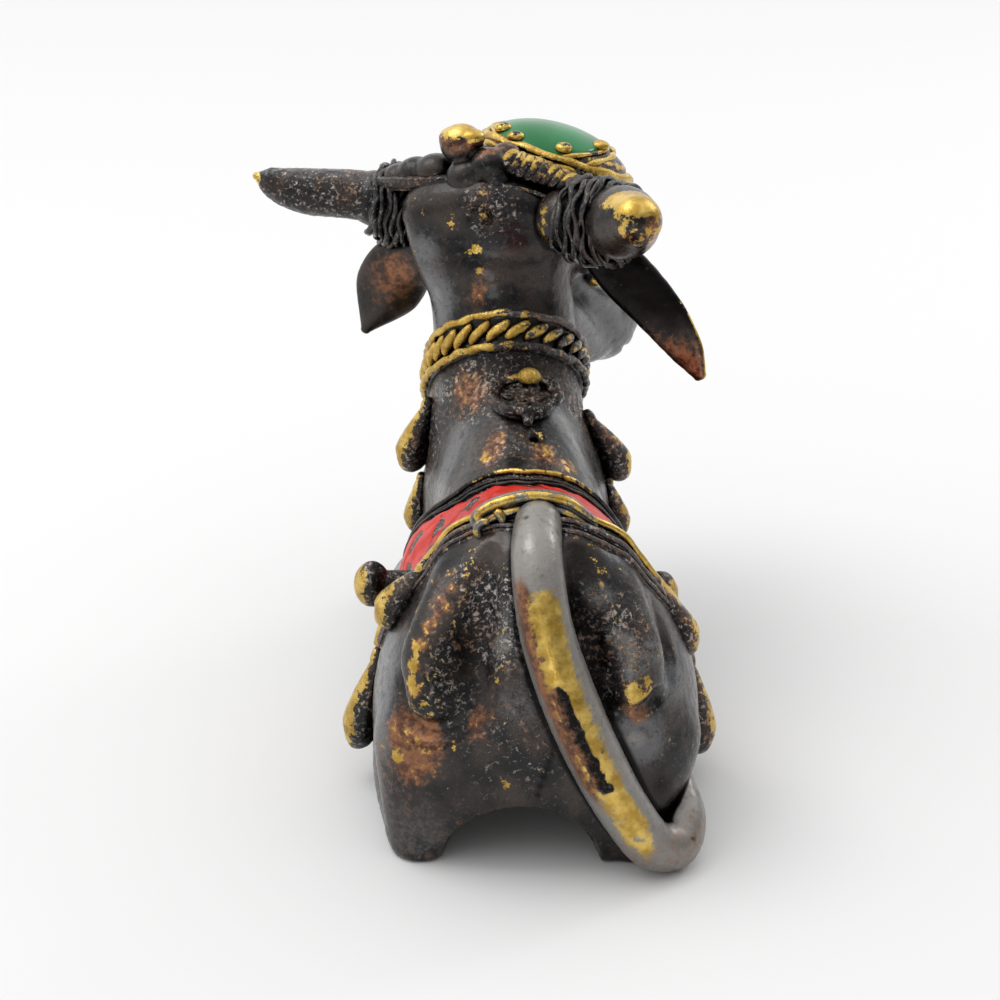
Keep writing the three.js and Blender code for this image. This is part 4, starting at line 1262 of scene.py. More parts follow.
def cloth_direction(fall, share):
    """Where the cloth's ray starts and which way it goes."""
    hem_angle = HEM_ANGLE + HEM_DROP * np.sin(np.pi * np.clip(share, 0, 1))
    falls = np.linspace(-1, 1, 2 * len(CLOTH_REAR[LEFT]) - 1)
    front, rear = (
        np.interp(fall, falls, [*edge[RIGHT][::-1], *edge[LEFT][1:]]) for edge in (CLOTH_FRONT, CLOTH_REAR)
    )
    angle = np.radians(hem_angle * np.abs(fall)) * np.sign(fall)
    start = np.stack([0 * angle, front + (rear - front) * share, CLOTH_CENTRE_Z + 0 * angle], -1)
    return start, np.stack([np.sin(angle), 0 * angle, np.cos(angle)], -1)


def measured_cloth():
    reach = np.zeros((len(CLOTH_FALLS), len(CLOTH_SHARES)))
    for i, fall in enumerate(CLOTH_FALLS):
        for j, share in enumerate(CLOTH_SHARES):
            start, out = cloth_direction(fall, share)
            hit = hide_tree.ray_cast(Vector(start + out * FAR_OUT), Vector(-out))[0]
            reach[i, j] = (np.array(hit) - start) @ out
    for _ in range(2):
        reach[1:-1] = (reach[:-2] + 2 * reach[1:-1] + reach[2:]) / 4
        reach[:, 1:-1] = (reach[:, :-2] + 2 * reach[:, 1:-1] + reach[:, 2:]) / 4
    return reach


cloth_reach = measured_cloth()


def cloth_place(fall, share, lift):
    """A place on the cloth, lifted off the hide."""
    fall, share, lift = (np.asarray(v, float) for v in np.broadcast_arrays(fall, share, lift))
    row, column = grid_place(fall, CLOTH_FALLS), grid_place(share, CLOTH_SHARES)
    i, j = row.astype(int), column.astype(int)
    u, v = row - i, column - j
    before = cloth_reach[i, j] * (1 - u) + cloth_reach[i + 1, j] * u
    after = cloth_reach[i, j + 1] * (1 - u) + cloth_reach[i + 1, j + 1] * u
    start, out = cloth_direction(fall, share)
    return start + out * (before * (1 - v) + after * v + lift)[..., None]


# %% [markdown]
# The cloth is built up as the founder did it. A brass ground lies on the hide, with steps at its edges. The
# red enamel is a second skin in the field between them: it was laid on thick with a brush, so its ridges
# run down the cloth, and small pits show dark brass where the paint missed it. The ridges are real relief,
# because a bump alone would leave the red flat at its rim.

# %% The cloth's ground and its enamel
CLOTH_SECTION = [
    # share, lift of the ground that the enamel and the cords lie on
    (-0.035, -0.5), (-0.035, 0.12), (0.0, 0.28), (0.05, 0.2), (0.1, 0.2),
    (0.5, 0.2), (0.92, 0.2), (0.97, 0.24), (0.99, 0.14), (1.04, 0.16),
    (1.05, 0.04), (1.1, 0.08), (1.12, -0.5),
]
CLOTH_HALF_GIRTH, CLOTH_WIDTH = 15, 9.7  # mm down the cloth from spine to hem, and from front to rear
FALLS = np.linspace(-1, 1, 330)


def cloth_ground():
    section = line_through(CLOTH_SECTION, 150)
    return loft(cloth_place(FALLS[:, None], section[:, 0], section[:, 1]))


def enamel_relief(fall, share):
    """Brushed ridges that run down the cloth and lean back, with pits where the paint missed the brass."""
    down = np.abs(fall) * CLOTH_HALF_GIRTH
    back = (share - 0.5) * CLOTH_WIDTH
    places = np.stack([down * 0.35 + back * 0.2, back - 0.45 * down, 0 * down + np.sign(fall) * 9], -1)
    shape = places.shape[:-1]
    ridges = noise(places.reshape(-1, 3) * (0.5, 2.2, 1), 1.0, 3).reshape(shape)
    fine = noise(places.reshape(-1, 3) * (1.0, 5.0, 1), 1.0, 5).reshape(shape)
    return 0.055 * ridges + 0.03 * fine


PITS = [
    # fall, share, half sizes along the fall and the share, of the places where dark brass shows through
    (0.27, 0.26, 0.035, 0.1), (0.34, 0.55, 0.02, 0.12), (0.42, 0.32, 0.02, 0.09),
    (0.5, 0.62, 0.016, 0.1), (0.55, 0.28, 0.03, 0.05), (0.62, 0.5, 0.02, 0.08),
    (0.7, 0.3, 0.024, 0.07), (0.76, 0.62, 0.02, 0.1), (0.86, 0.36, 0.03, 0.06),
    (0.92, 0.66, 0.02, 0.08), (-0.3, 0.4, 0.02, 0.06), (-0.55, 0.3, 0.03, 0.06),
    (-0.72, 0.55, 0.02, 0.1), (-0.88, 0.3, 0.03, 0.06),
]
ENAMEL_ROWS, ENAMEL_COLUMNS = 420, 92
ENAMEL_FALLS = np.linspace(-0.985, 0.985, ENAMEL_ROWS)
# The first two and last two columns turn down into the ground
ENAMEL_SHARES = np.concatenate([[0.11, 0.11], np.linspace(0.115, 0.895, ENAMEL_COLUMNS), [0.9, 0.9]])
ENAMEL_LIFT, ENAMEL_EDGE_LIFT, ENAMEL_SUNK, PIT_DEPTH = 0.26, 0.12, -0.1, 0.3


def pit_at(fall, share, pit):
    """How deep a place lies in one slanting pit, from 0 to 1."""
    at_fall, at_share, half_fall, half_share = pit
    slant = (fall - at_fall) / half_fall - 0.7 * (share - at_share) / half_share
    return np.exp(-(slant**2) - ((share - at_share) / half_share) ** 2)


def cloth_enamel():
    column = np.arange(ENAMEL_COLUMNS)
    rise = np.minimum(1, np.minimum(column, column[::-1]) / 4 + 0.3)
    edge = np.concatenate([[-0.3, 0.0], rise, [0.0, -0.3]])
    fall, share = ENAMEL_FALLS[:, None], ENAMEL_SHARES
    wander = 0.012 * np.sin(fall * 31) + 0.01 * np.sin(fall * 67 + 1)
    places = share + wander * np.where(share < 0.5, 1, -1)
    lift = ENAMEL_LIFT + enamel_relief(fall + 0 * share, share + 0 * fall)
    for pit in PITS:
        lift = lift - PIT_DEPTH * pit_at(fall, share, pit)
    full = np.clip(edge, 0, 1)
    lift = np.where(edge < 0, ENAMEL_SUNK, lift * full + ENAMEL_EDGE_LIFT * (1 - full))
    return loft(cloth_place(fall, places, lift))


def enamel_pits():
    """The same pits as a mask for the paint, in the order of the enamel's points, with its two end points."""
    fall, share = np.repeat(ENAMEL_FALLS, len(ENAMEL_SHARES)), np.tile(ENAMEL_SHARES, ENAMEL_ROWS)
    depth = sum(pit_at(fall, share, pit) for pit in PITS)
    return np.concatenate([smooth_step(0.35, 0.75, depth), [0, 0]])


shapes["cloth_ground"] = cloth_ground()
shapes["cloth_enamel"] = cloth_enamel()
print("enamel faces:", len(shapes["cloth_enamel"][1]))

# %% [markdown]
# Cords and a row of beads border the field. Each runs along a line of equal share, a hem along a line of
# equal fall, so they turn over the back with the cloth. A slow waver keeps them from looking machined.

# %% Cords, beads and hems of the cloth
CORD_REACH, HEM_FALL, HEM_RADIUS = 0.99, 0.995, 0.28
BEAD_SHARE, BEAD_LIFT, BEAD_COUNT, BEAD_REACH, BEAD_SIZE = 0.052, 0.24, 150, 0.97, 0.13
CLOTH_CORDS = {
    # share, lift, radius, waver, phase
    "cloth_front_cord": [(-0.005, 0.38, 0.21, 0.003, 0)],
    "cloth_front_line": [(0.1, 0.27, 0.12, 0.006, 1)],
    "cloth_rear_cord": [(0.935, 0.4, 0.23, 0.003, 2)],
    "cloth_border_cord": [(1.015, 0.2, 0.2, 0.003, 0), (1.085, 0.12, 0.16, 0.003, 2)],
}


def cloth_cord(share, lift, thick, waver, phase):
    fall = np.linspace(-CORD_REACH, CORD_REACH, 420)
    path = cloth_place(fall, share + waver * np.sin(fall * 60 + phase), lift)
    return cord(path, thick * (1 + 0.04 * np.sin(fall * 55 + phase)), sides=10)


def cloth_hem(side):
    share = np.linspace(0.02, 1.02, 90)
    return cord(cloth_place(side * HEM_FALL, share, 0.2), HEM_RADIUS, sides=10)


def edge_beads():
    radii = (BEAD_SIZE * 1.2, BEAD_SIZE, BEAD_SIZE * 0.8)
    for fall in np.linspace(-BEAD_REACH, BEAD_REACH, BEAD_COUNT):
        yield egg(cloth_place(fall, BEAD_SHARE, BEAD_LIFT)[()], radii, sides=10, rows=7)


for name, cords in CLOTH_CORDS.items():
    shapes[name] = joined([cloth_cord(*facts) for facts in cords])
shapes["cloth_beads"] = joined(edge_beads())
shapes["cloth_hems"] = joined([cloth_hem(LEFT), cloth_hem(RIGHT)])
print("cloth pieces:", [name for name in shapes if name.startswith("cloth")])

# %% [markdown]
# A curled lobe of the border lies over the root of the tail. It is a flat limb between two raised cords,
# and a third cord winds up into the curl at its left end.

# %% The curled lobe over the tail root
SCROLL = [
    (3.2, 13.4, 19.8), (3.5, 13.2, 20.3), (2.8, 13.0, 20.8), (1.5, 13.0, 21.25),
    (-0.1, 13.0, 21.45), (-1.8, 13.0, 21.1), (-2.7, 13.0, 20.5), (-3.6, 13.1, 19.8),
]
SCROLL_WIDE, SCROLL_DEEP = [0.4, 0.5, 0.62, 0.7, 0.72, 0.66, 0.5, 0.2], 0.32
SCROLL_RIMS = ((0, 0.28, 0.42), (0, 0.42, -0.36))
CURL_CENTRE = np.array([2.95, 13.7, 20.1])


def tail_scroll():
    line = line_through(SCROLL, 150)
    yield limb(SCROLL, SCROLL_WIDE, SCROLL_DEEP, up=(0, 1, 0.35), spacing=0.12)
    for shift in SCROLL_RIMS:
        yield cord(line + shift, 0.29 * np.sin(np.linspace(0.5, 2.7, len(line))) + 0.06, sides=10)
    t = np.linspace(0, 1, 60)
    angle = 2.2 + t * 5.6
    reach = 1.1 - 0.65 * t
    path = CURL_CENTRE + np.stack([reach * np.cos(angle), 0.3 * t, reach * np.sin(angle)], -1)
    yield cord(path, 0.32 - 0.1 * t, sides=10)


shapes["tail_scroll"] = joined(tail_scroll())
print("scroll faces:", len(shapes["tail_scroll"][1]))

# %% [markdown]
# ## The tail
# The tail comes out from under the cloth, falls down the rump to the bull's right and ends round the right
# hock. It could be a curve with a bevel, but a limb is closed at both ends and swells where the real one
# does.

# %% The tail
TAIL_RADIUS = 1.55
TAIL = [
    (-0.1, 13.8, 20.3), (0.1, 17.0, 19.3), (-0.4, 19.4, 15.8), (-1.65, 20.5, 12.0),
    (-3.3, 21.1, 8.1), (-5.2, 21.3, 4.4), (-6.9, 21.0, 2.0), (-8.25, 20.1, 1.55),
    (-8.9, 18.6, 2.5), (-8.8, 16.8, 3.9),
]
TAIL_WIDE = [0.95, 1.0, 1.05, 1.1, 1.08, 1.02, 1, 1, 0.9, 0.6]
tail_up = unit(np.array([-0.4, 1, 0.3]))
tail_wide = [share * TAIL_RADIUS for share in TAIL_WIDE]
shapes["tail"] = limb(TAIL, tail_wide, up=tail_up, sides=72, spacing=0.12)
print("shapes:", len(shapes), "faces:", sum(len(form[1]) + len(form[2]) for form in shapes.values()))

# %% [markdown]
# ## Where patina and painted shade gather
# Dark lacquer settles in every hollow and is rubbed off every height. The black put into the hollows is
# partly that lacquer and partly painted shade. Two measures say where: how crowded a place is with brass
# around it, and how far it stands proud of its own smoothed shape. Blender's pointiness would see only one
# mesh at a time, and the hollows here lie between the pieces, so all of them go into one block, which is
# blurred over a short reach and a long one.

# %% How crowded every place is
CROWD_GRAIN, CROWD_MARGIN = 0.2, 3
NEAR_CELLS, FAR_CELLS = 2, 6
everything = joined(shapes.values())
crowd = Clay(everything[0].min(0) - CROWD_MARGIN, everything[0].max(0) + CROWD_MARGIN, CROWD_GRAIN, band=0.6)
for form in shapes.values():
    where, found = crowd.near(form)
    crowd.distance[where] = np.minimum(crowd.distance[where], found)
filled = (crowd.distance < 0).astype(np.float32)


def blurred(block, reach):
    """A box blur along each axis in turn, done twice, which comes close to a round one."""
    for _ in range(2):
        for axis in range(3):
            padded = np.pad(block, [(reach + 1, reach) if a == axis else (0, 0) for a in range(3)])
            total = np.cumsum(padded, axis, dtype=np.float32)
            after = np.take(total, np.arange(2 * reach + 1, total.shape[axis]), axis)
            before = np.take(total, np.arange(total.shape[axis] - 2 * reach - 1), axis)
            block = (after - before) / (2 * reach + 1)
    return block


crowded = {reach: blurred(filled, reach) for reach in (NEAR_CELLS, FAR_CELLS)}
print("share of the block that is brass:", round(float(filled.mean()), 3))


def read(block, points):
    """The block's value at each point, from the eight cells round it."""
    place = points / CROWD_GRAIN - crowd.first
    cell = np.clip(np.floor(place).astype(int), 0, np.array(block.shape) - 2)
    part = place - cell
    total = np.zeros(len(points))
    for corner in range(8):
        step = np.array([corner & 1, corner >> 1 & 1, corner >> 2 & 1])
        at = cell + step
        total += block[at[:, 0], at[:, 1], at[:, 2]] * np.where(step, part, 1 - part).prod(1)
    return total


# %% [markdown]
# ## Wear, painted shade and painted sheen
# The places of wear are read off the figurine: a yellow back of the tail, coppery haunches, a rubbed hump.
# So are the places where shade and grey sheen are painted into the colour. Painting them on an image would
# need an unwrapped mesh. Here each is a spot in space with a reach, which every mesh near it feels in the
# same way, and noise breaks up its edge, since wear is never even.

# %% Spots of wear, painted shade and painted sheen
# Yellow brass: the ridge of the left haunch fold, hock, right fold, saddle front, nape and hump. On the fold's
# left flank, which faces the lamp, the yellow is partly a painted highlight.
GOLD_SPOTS = [
    # x, y, z, reach, strength
    (7.6, 19.2, 12, 0.32, 0.75), (7.58, 19.05, 12.6, 0.3, 0.65), (7.55, 18.9, 13.2, 0.3, 0.65),
    (7.42, 18.65, 13.7, 0.3, 0.6), (7.3, 18.4, 14.2, 0.3, 0.5), (8.6, 18.7, 7.1, 0.35, 1),
    (2.1, 20.5, 6.1, 0.5, 0.55), (-5.7, 19.7, 11.9, 0.4, 0.9), (-5, 20, 12, 0.35, 0.7),
    (-6.4, 19.2, 12.2, 0.35, 0.7), (2.4, 1.1, 19.1, 0.7, 0.25), (-1.1, 1.5, 19.3, 0.7, 0.2),
    (-2.7, 1.5, 18.4, 0.6, 0.3), (3, -8.9, 29.4, 0.45, 1), (2.8, -8.6, 28.1, 0.3, 0.8),
    (4.5, -9.5, 31, 0.5, 0.5), (3.8, -5.7, 20.8, 1, 0.1), (8.6, 17, 12.6, 0.5, 0.5),
]
# Coppery lacquer: haunch and hock, the fold's ridge, the web of the arch, hump, nape and left ear. On the
# fold's left flank, which faces the lamp, the copper is partly a painted highlight.
COPPER_SPOTS = [
    # x, y, z, reach, strength
    (8.1, 18.2, 9, 1.1, 1), (7.3, 19.2, 8.2, 1.5, 1.1), (7.8, 19.3, 6.6, 1, 0.8),
    (8.8, 16.5, 6, 3, 0.36), (7.3, 19.5, 1.7, 2.5, 0.2), (6.6, 18.9, 9.2, 0.9, 0.7),
    (7.6, 19.2, 12, 0.55, 1.1), (7.5, 18.8, 13.4, 0.5, 1.1), (7.2, 18.3, 14.5, 0.5, 1),
    (6.6, 17.7, 15.5, 0.5, 0.8), (5.9, 17.2, 16.3, 0.6, 0.5), (3.6, 19.7, 10.5, 0.8, 0.75),
    (3.7, 20, 9.3, 0.7, 0.65), (2, 0.1, 19.8, 0.7, 1.1), (2.4, 1.1, 19.1, 0.8, 1.1),
    (-1.1, 1.5, 19.3, 0.9, 1), (-2.7, 1.5, 18.4, 0.7, 0.9), (3.8, -5.7, 20.8, 1.3, 0.8),
    (2.9, -4.4, 20.7, 1.1, 0.7), (1.5, -4.4, 22, 1, 0.4), (2.9, -8.4, 26.8, 0.8, 0.7),
    (3.1, -7.7, 25.7, 0.8, 0.7), (2.8, -8.6, 28.1, 0.5, 0.5), (-5.7, 19.7, 11.9, 0.9, 0.6),
    (-5.8, 19.5, 10.4, 0.9, 0.75), (9, -15.5, 24.2, 2, 0.3), (8, -14.8, 25.9, 1.6, 0.55),
    (5.3, 16.3, 17.2, 1.5, 0.4), (-1.5, -8, 24.5, 1.2, 0.35),
]
# Rough casting with grit, on which bright glints are painted into the colour: beside the tail, under the neck
# bells, on the hump and nape
GRIT_SPOTS = [
    # x, y, z, reach, strength
    (2.2, 18.6, 14.6, 1.6, 1), (1.7, 17.7, 17.1, 1.5, 0.8), (2.9, 18.4, 15.5, 1.2, 0.6),
    (3.4, -5.2, 20.8, 2.4, 1), (-2.5, 17.6, 15.7, 2, 0.9), (-3.6, 18.3, 14, 1.8, 0.9),
    (-4.2, 19.4, 11.2, 1.6, 0.6), (-5.3, 18.3, 15, 1.8, 0.8), (2, -8.9, 32.2, 1.6, 0.9),
    (3.2, 16.8, 16.7, 1.4, 0.9), (4.1, 15.9, 18, 1.2, 0.5), (1.2, 20.2, 9, 3.5, 0.35),
    (1, 1, 19.3, 2.5, 0.6), (12.8, -15.6, 31, 2.5, 0.5), (6.8, -7.5, 15.7, 2.5, 0.8),
    (6.1, -8.3, 19, 1.6, 0.7), (-4.6, -8, 17.5, 2.5, 0.9), (-3.2, -7.1, 20.1, 2, 0.7),
    (-7.6, -2.4, 33.2, 1.2, 0.4), (0.5, -6, 22, 2, 0.7), (6, 19.4, 12.7, 1.3, 0.9),
    (5, 18.1, 14.7, 1.3, 0.9), (5.6, 19.2, 10.8, 1, 0.6),
]
# Black hollows, partly black lacquer and partly painted shade: the bottoms of the valleys, the crease under
# the arch, the back of the hump
PATINA_AND_SHADE_SPOTS = [
    # x, y, z, reach, strength
    (0.8, 2.2, 19.1, 0.7, 1.3), (6, 19.4, 12.7, 1, 0.65), (5, 18.1, 14.7, 1.2, 0.65),
    (4.1, 18.4, 13.5, 1, 0.55), (-1.9, 17, 16.9, 0.9, 1.1), (-2.5, 17.6, 15.7, 1, 1.3),
    (-3.5, 18.1, 14.6, 0.7, 1.1), (-3.4, 18.7, 13.2, 0.9, 1.2), (-4.3, 19.4, 11.2, 0.8, 1),
    (0.3, -5.2, 22.5, 1.6, 0.8), (-7.6, 20.6, 5.4, 1.2, 1), (-2.5, -9.4, 31.4, 1.6, 0.6),
    (-1, 20.2, 9.1, 0.25, 1.2), (-0.85, 20.25, 8.6, 0.25, 1.2), (-0.7, 20.3, 8.1, 0.25, 1.2),
    (-0.55, 20.35, 7.6, 0.25, 1.2), (-0.4, 20.4, 7.1, 0.25, 1.2), (-0.2, 20.45, 6.6, 0.25, 1.2),
    (0, 20.5, 6, 0.25, 1.1), (0.15, 20.5, 5.4, 0.25, 1), (5.6, 19.2, 10.8, 0.9, 0.7),
    (-3.4, 15.4, 18.6, 1, 0.5), (5.6, 14.2, 18.2, 1.2, 0.6),
]
# Painted sheen, grey put into the colour in place of reflections: flanks of the hump, outer haunches, left
# side of the neck, between the folds
SHEEN_SPOTS = [
    # x, y, z, reach, strength
    (-2.3, -2.7, 19.9, 1.3, 1), (-3.2, -1.8, 18.5, 1.4, 1), (-4.3, -1.8, 16.7, 1.4, 0.9),
    (4.2, -3.8, 18.8, 1.3, 0.8), (4.9, -2.8, 17.1, 1.3, 1), (5.6, -2.2, 15.2, 1.3, 1),
    (9.1, 14.5, 11.6, 1.5, 1), (9.6, 15.2, 9.1, 2, 0.9), (9.3, 17.8, 7.8, 0.9, 0.6),
    (-6.3, 19.8, 8.6, 1.6, 0.9), (-5.1, 19.9, 8.7, 1.3, 0.7), (-6.9, 18.4, 14, 0.9, 0.8),
    (-8.5, 17.5, 11.5, 1.5, 1), (-3.7, 17, 16.7, 1.2, 0.6), (5.5, -10, 26.2, 1.4, 1.1),
    (6.3, -10.2, 29, 1.2, 0.8), (5.9, -9.5, 24.5, 1.2, 1), (2.2, 18.6, 14.6, 1.2, 1.5),
    (1.8, 17.9, 16.4, 1, 1.1), (-3.3, 16.9, 16.5, 0.8, 1), (-4.3, 18.1, 14.8, 0.8, 1.3),
    (-5.5, 18.9, 13.3, 0.9, 1.5), (-5.3, 18.5, 14.6, 0.8, 1.2), (8.8, 16.5, 6, 3, 0.45),
    (7.3, 19.5, 1.7, 2.5, 0.4), (5.7, -8.7, 20.3, 0.8, 1), (5.4, -7.4, 19.8, 0.8, 0.9),
    (1.5, -2.5, 20.6, 1.6, 0.5), (1.2, 20, 11, 1.8, 0.45),
]


# %% [markdown]
# Next, the wear that any mesh gets from its own shape. How proud a point stands is its distance from the
# same mesh smoothed. How hollow it lies is read from the crowded block, a little way off the surface, and
# hollow places are painted black, partly as lacquer and partly as painted shade.

# %% Wear and painted shade from the shape
SMOOTHING_ROUNDS, SMOOTHING_STRENGTH = 12, 0.5
EDGE_WEAR, PROUD_FOR_GOLD, PROUD_FOR_COPPER = 0.6, 0.12, 0.15
OFF_SURFACE = 0.25


def wear_shade_and_sheen(form):
    """Wear, painted shade and painted sheen at each point of a form, its normals, and how proud each point
    stands.
    """
    points = form[0]
    normals = normals_of(form)
    level = relaxed(form, points, SMOOTHING_ROUNDS, SMOOTHING_STRENGTH)
    proud = ((points - level) * normals).sum(1)
    near, far = (read(crowded[reach], points + normals * OFF_SURFACE) for reach in (NEAR_CELLS, FAR_CELLS))
    # how hollow a place lies: it turns black, partly as the lacquer held there and partly as painted shade
    hollow = np.clip((near - 0.33) * 2.6, 0, 1) * 0.7 + np.clip((far - 0.42) * 2.8, 0, 1) * 0.7
    values = {
        "gold": EDGE_WEAR * np.clip(proud / PROUD_FOR_GOLD, -1, 1.2) + touches(points, GOLD_SPOTS),
        "copper": touches(points, COPPER_SPOTS) + 0.3 * np.clip(proud / PROUD_FOR_COPPER, -1, 1),
        "grit": np.clip(touches(points, GRIT_SPOTS), 0, 1),
        # black spots: painted shade as well as black lacquer
        "dark": np.clip(touches(points, PATINA_AND_SHADE_SPOTS), 0, 1),
        # painted sheen: grey put into the colour in place of reflections
        "sheen": np.clip(touches(points, SHEEN_SPOTS), 0, 1.6),
        "hollow": np.clip(hollow, 0, 1),
        "soft": 0 * proud,
    }
    return values, normals, proud


# %% [markdown]
# A mesh can be filled point by point with from_pydata, but foreach_set takes whole arrays, which matters
# with half a million faces. Each kind of wear, painted shade and painted sheen becomes an attribute of the
# points, which the materials read.

# %% Making the meshes
def make_mesh(name, form, values, material):
    """An object of a form, with its wear, painted shade and painted sheen as attributes, in metres."""
    points, quads, triangles = form
    mesh = bpy.data.meshes.new(name)
    faces = len(quads) + len(triangles)
    mesh.vertices.add(len(points))
    mesh.vertices.foreach_set("co", (points * MM).ravel())
    mesh.loops.add(quads.size + triangles.size)
    corners = np.concatenate([quads.ravel(), triangles.ravel()])
    mesh.loops.foreach_set("vertex_index", corners.astype(np.int32))
    mesh.polygons.add(faces)
    starts = np.concatenate([np.arange(len(quads)) * 4, quads.size + np.arange(len(triangles)) * 3])
    mesh.polygons.foreach_set("loop_start", starts.astype(np.int32))
    mesh.polygons.foreach_set("use_smooth", np.ones(faces, bool))
    mesh.update(calc_edges=True)
    for key, value in values.items():
        layer = mesh.attributes.new(key, "FLOAT", "POINT")
        layer.data.foreach_set("value", np.asarray(value, np.float32))
    mesh.materials.append(material)
    thing = bpy.data.objects.new(name, mesh)
    bpy.context.scene.collection.objects.link(thing)
    return thing


# %% [markdown]
# ## Materials
# One recipe serves all the brass: near-black lacquer, coppery brown where it is thin, yellow metal where it
# is gone. Each could be a material of its own, but lacquer rubbed thin passes from one to the next within a
# millimetre, so masks blend them in a single one. The masks come from the mesh, and fine noise breaks up
# their edges. Some masks paint light into the colour: black as painted shade, slate and silver as painted
# sheen, and bright specks as painted glints.

# %% A small kit for node trees


class Nodes:
    """Adds nodes to a material and wires them."""

    def __init__(self, name):
        self.material = bpy.data.materials.new(name)
        self.material.use_nodes = True
        self.tree = self.material.node_tree
        self.shader = self.tree.nodes["Principled BSDF"]
        self.objects = self.add("ShaderNodeTexCoord").outputs["Object"]

    def add(self, kind, inputs=None, **settings):
        node = self.tree.nodes.new(kind)
        for key, value in settings.items():
            setattr(node, key, value)
        for key, value in (inputs or {}).items():
            self.give(node.inputs[key], value)
        return node

    def shade(self, inputs):
        """Gives the shader's own sockets their nodes and plain values."""
        for key, value in inputs.items():
            self.give(self.shader.inputs[key], value)
        return self.material

    def give(self, socket, value):
        if isinstance(value, bpy.types.NodeSocket):
            self.tree.links.new(value, socket)
        else:
            socket.default_value = value

    def math(self, operation, a, b, clamp=False):
        return self.add("ShaderNodeMath", {0: a, 1: b}, operation=operation, use_clamp=clamp).outputs[0]

    def plus(self, a, b):
        return self.math("ADD", a, b)

    def minus(self, a, b):
        return self.math("SUBTRACT", a, b)

    def times(self, a, b):
        return self.math("MULTIPLY", a, b)

    def most(self, a, b, clamp=False):
        return self.math("MAXIMUM", a, b, clamp)

    def attribute(self, name):
        return self.add("ShaderNodeAttribute", attribute_name=name).outputs["Fac"]

    def noise(self, size, detail=3.0, rough=0.5, distort=0.0):
        """Noise from 0 to 1 that changes over about one size, in millimetres."""
        scale = [1 / (size * MM)] * 3
        place = self.add("ShaderNodeMapping", {"Vector": self.objects, "Scale": scale}).outputs[0]
        inputs = {"Vector": place, "Scale": 1.0, "Detail": detail, "Roughness": rough, "Distortion": distort}
        return self.add("ShaderNodeTexNoise", inputs).outputs["Fac"]

    def ramp(self, value, low, high, start=0.0, end=1.0):
        inputs = {"Value": value, "From Min": low, "From Max": high, "To Min": start, "To Max": end}
        return self.add("ShaderNodeMapRange", inputs, interpolation_type="SMOOTHSTEP").outputs[0]

    def blend(self, share, first, second):
        node = self.add("ShaderNodeMix", data_type="RGBA")
        self.give(node.inputs[0], share)
        for socket, value in ((node.inputs[6], first), (node.inputs[7], second)):
            self.give(socket, value if isinstance(value, bpy.types.NodeSocket) else (*value, 1))
        return node.outputs[2]

    def bump(self, height, depth, strength=1.0, normal=None):
        """depth is the real height of the relief, in millimetres."""
        inputs = {"Height": height, "Distance": depth * MM, "Strength": strength}
        if normal is not None:
            inputs["Normal"] = normal
        return self.add("ShaderNodeBump", inputs).outputs[0]


# %% [markdown]
# The colours are linear, as light and not as seen on a screen. Metals get theirs from what they reflect, so
# brass is a strong yellow here. The lacquer is nearly black. Slate and silver are painted sheen, grey put
# into the lacquer's colour where it would show reflections, and the two glint colours are painted glints.

# %% The colours of the brass
GOLD, PALE_GOLD = (0.44, 0.27, 0.045), (0.72, 0.50, 0.13)
COPPER, DARK_COPPER = (0.31, 0.14, 0.068), (0.10, 0.048, 0.032)
BLACK, BROWN = (0.0035, 0.003, 0.003), (0.039, 0.028, 0.023)
# painted sheen: grey and silver put into the lacquer's colour in place of reflections
SHEEN_SLATE, SHEEN_SILVER = (0.12, 0.12, 0.125), (0.27, 0.255, 0.235)
# painted glints: bright specks put into the colour in place of highlights
GLINT, WARM_GLINT = (0.62, 0.56, 0.52), (0.42, 0.25, 0.16)
GOLD_START = 0.25  # wear below this level leaves the lacquer on


# %% Where the brass shows gold, copper, black as lacquer and painted shade, painted sheen and painted glints
def brass_masks(kit, gold_lift):
    """The noises and the masks, each from 0 to 1, by name."""
    coarse, middle, fine = kit.noise(2.6), kit.noise(0.6, 5, 0.68), kit.noise(0.2, 3, 0.6)
    specks = kit.noise(0.3, 4, 0.72, distort=0.6)
    hollow, grit, soft = kit.attribute("hollow"), kit.attribute("grit"), kit.attribute("soft")
    sheen = kit.attribute("sheen")
    calm = kit.minus(1.0, kit.times(soft, 0.7))
    broken = kit.plus(kit.times(middle, 2.0), kit.times(fine, 0.8))
    broken = kit.times(kit.minus(broken, 1.4), calm)
    copper_level = kit.plus(kit.attribute("copper"), kit.times(broken, 0.7))
    copper_level = kit.minus(copper_level, kit.times(hollow, 0.6))
    copper = kit.ramp(copper_level, 0.2, 0.85)
    gold_level = kit.plus(kit.attribute("gold"), kit.minus(broken, GOLD_START - gold_lift))
    gold_level = kit.minus(gold_level, kit.times(hollow, 0.9))
    gold_level = kit.plus(gold_level, kit.times(copper, 0.1))
    gold = kit.ramp(gold_level, 0.12, kit.plus(0.3, kit.times(soft, 0.4)))
    # dark: the lacquer held in hollows, with painted shade there and at the dark spots
    dark = kit.most(kit.ramp(hollow, 0.2, 0.6), kit.attribute("dark"), True)
    lit = kit.minus(1.0, dark)
    # painted glints: bright specks in the gritty places, put into the colour as highlights
    speck_level = kit.plus(specks, kit.times(grit, 0.07))
    glints = kit.times(kit.ramp(speck_level, 0.57, 0.69), calm)
    glints = kit.times(glints, kit.ramp(grit, 0.0, 0.5, 0.1, 0.75))
    glints = kit.times(glints, kit.minus(1.0, kit.times(dark, 0.8)))
    names = "coarse middle fine specks grit soft sheen calm broken copper gold dark lit glints".split()
    found = (coarse, middle, fine, specks, grit, soft, sheen, calm, broken, copper, gold, dark, lit, glints)
    return SimpleNamespace(**dict(zip(names, found)))


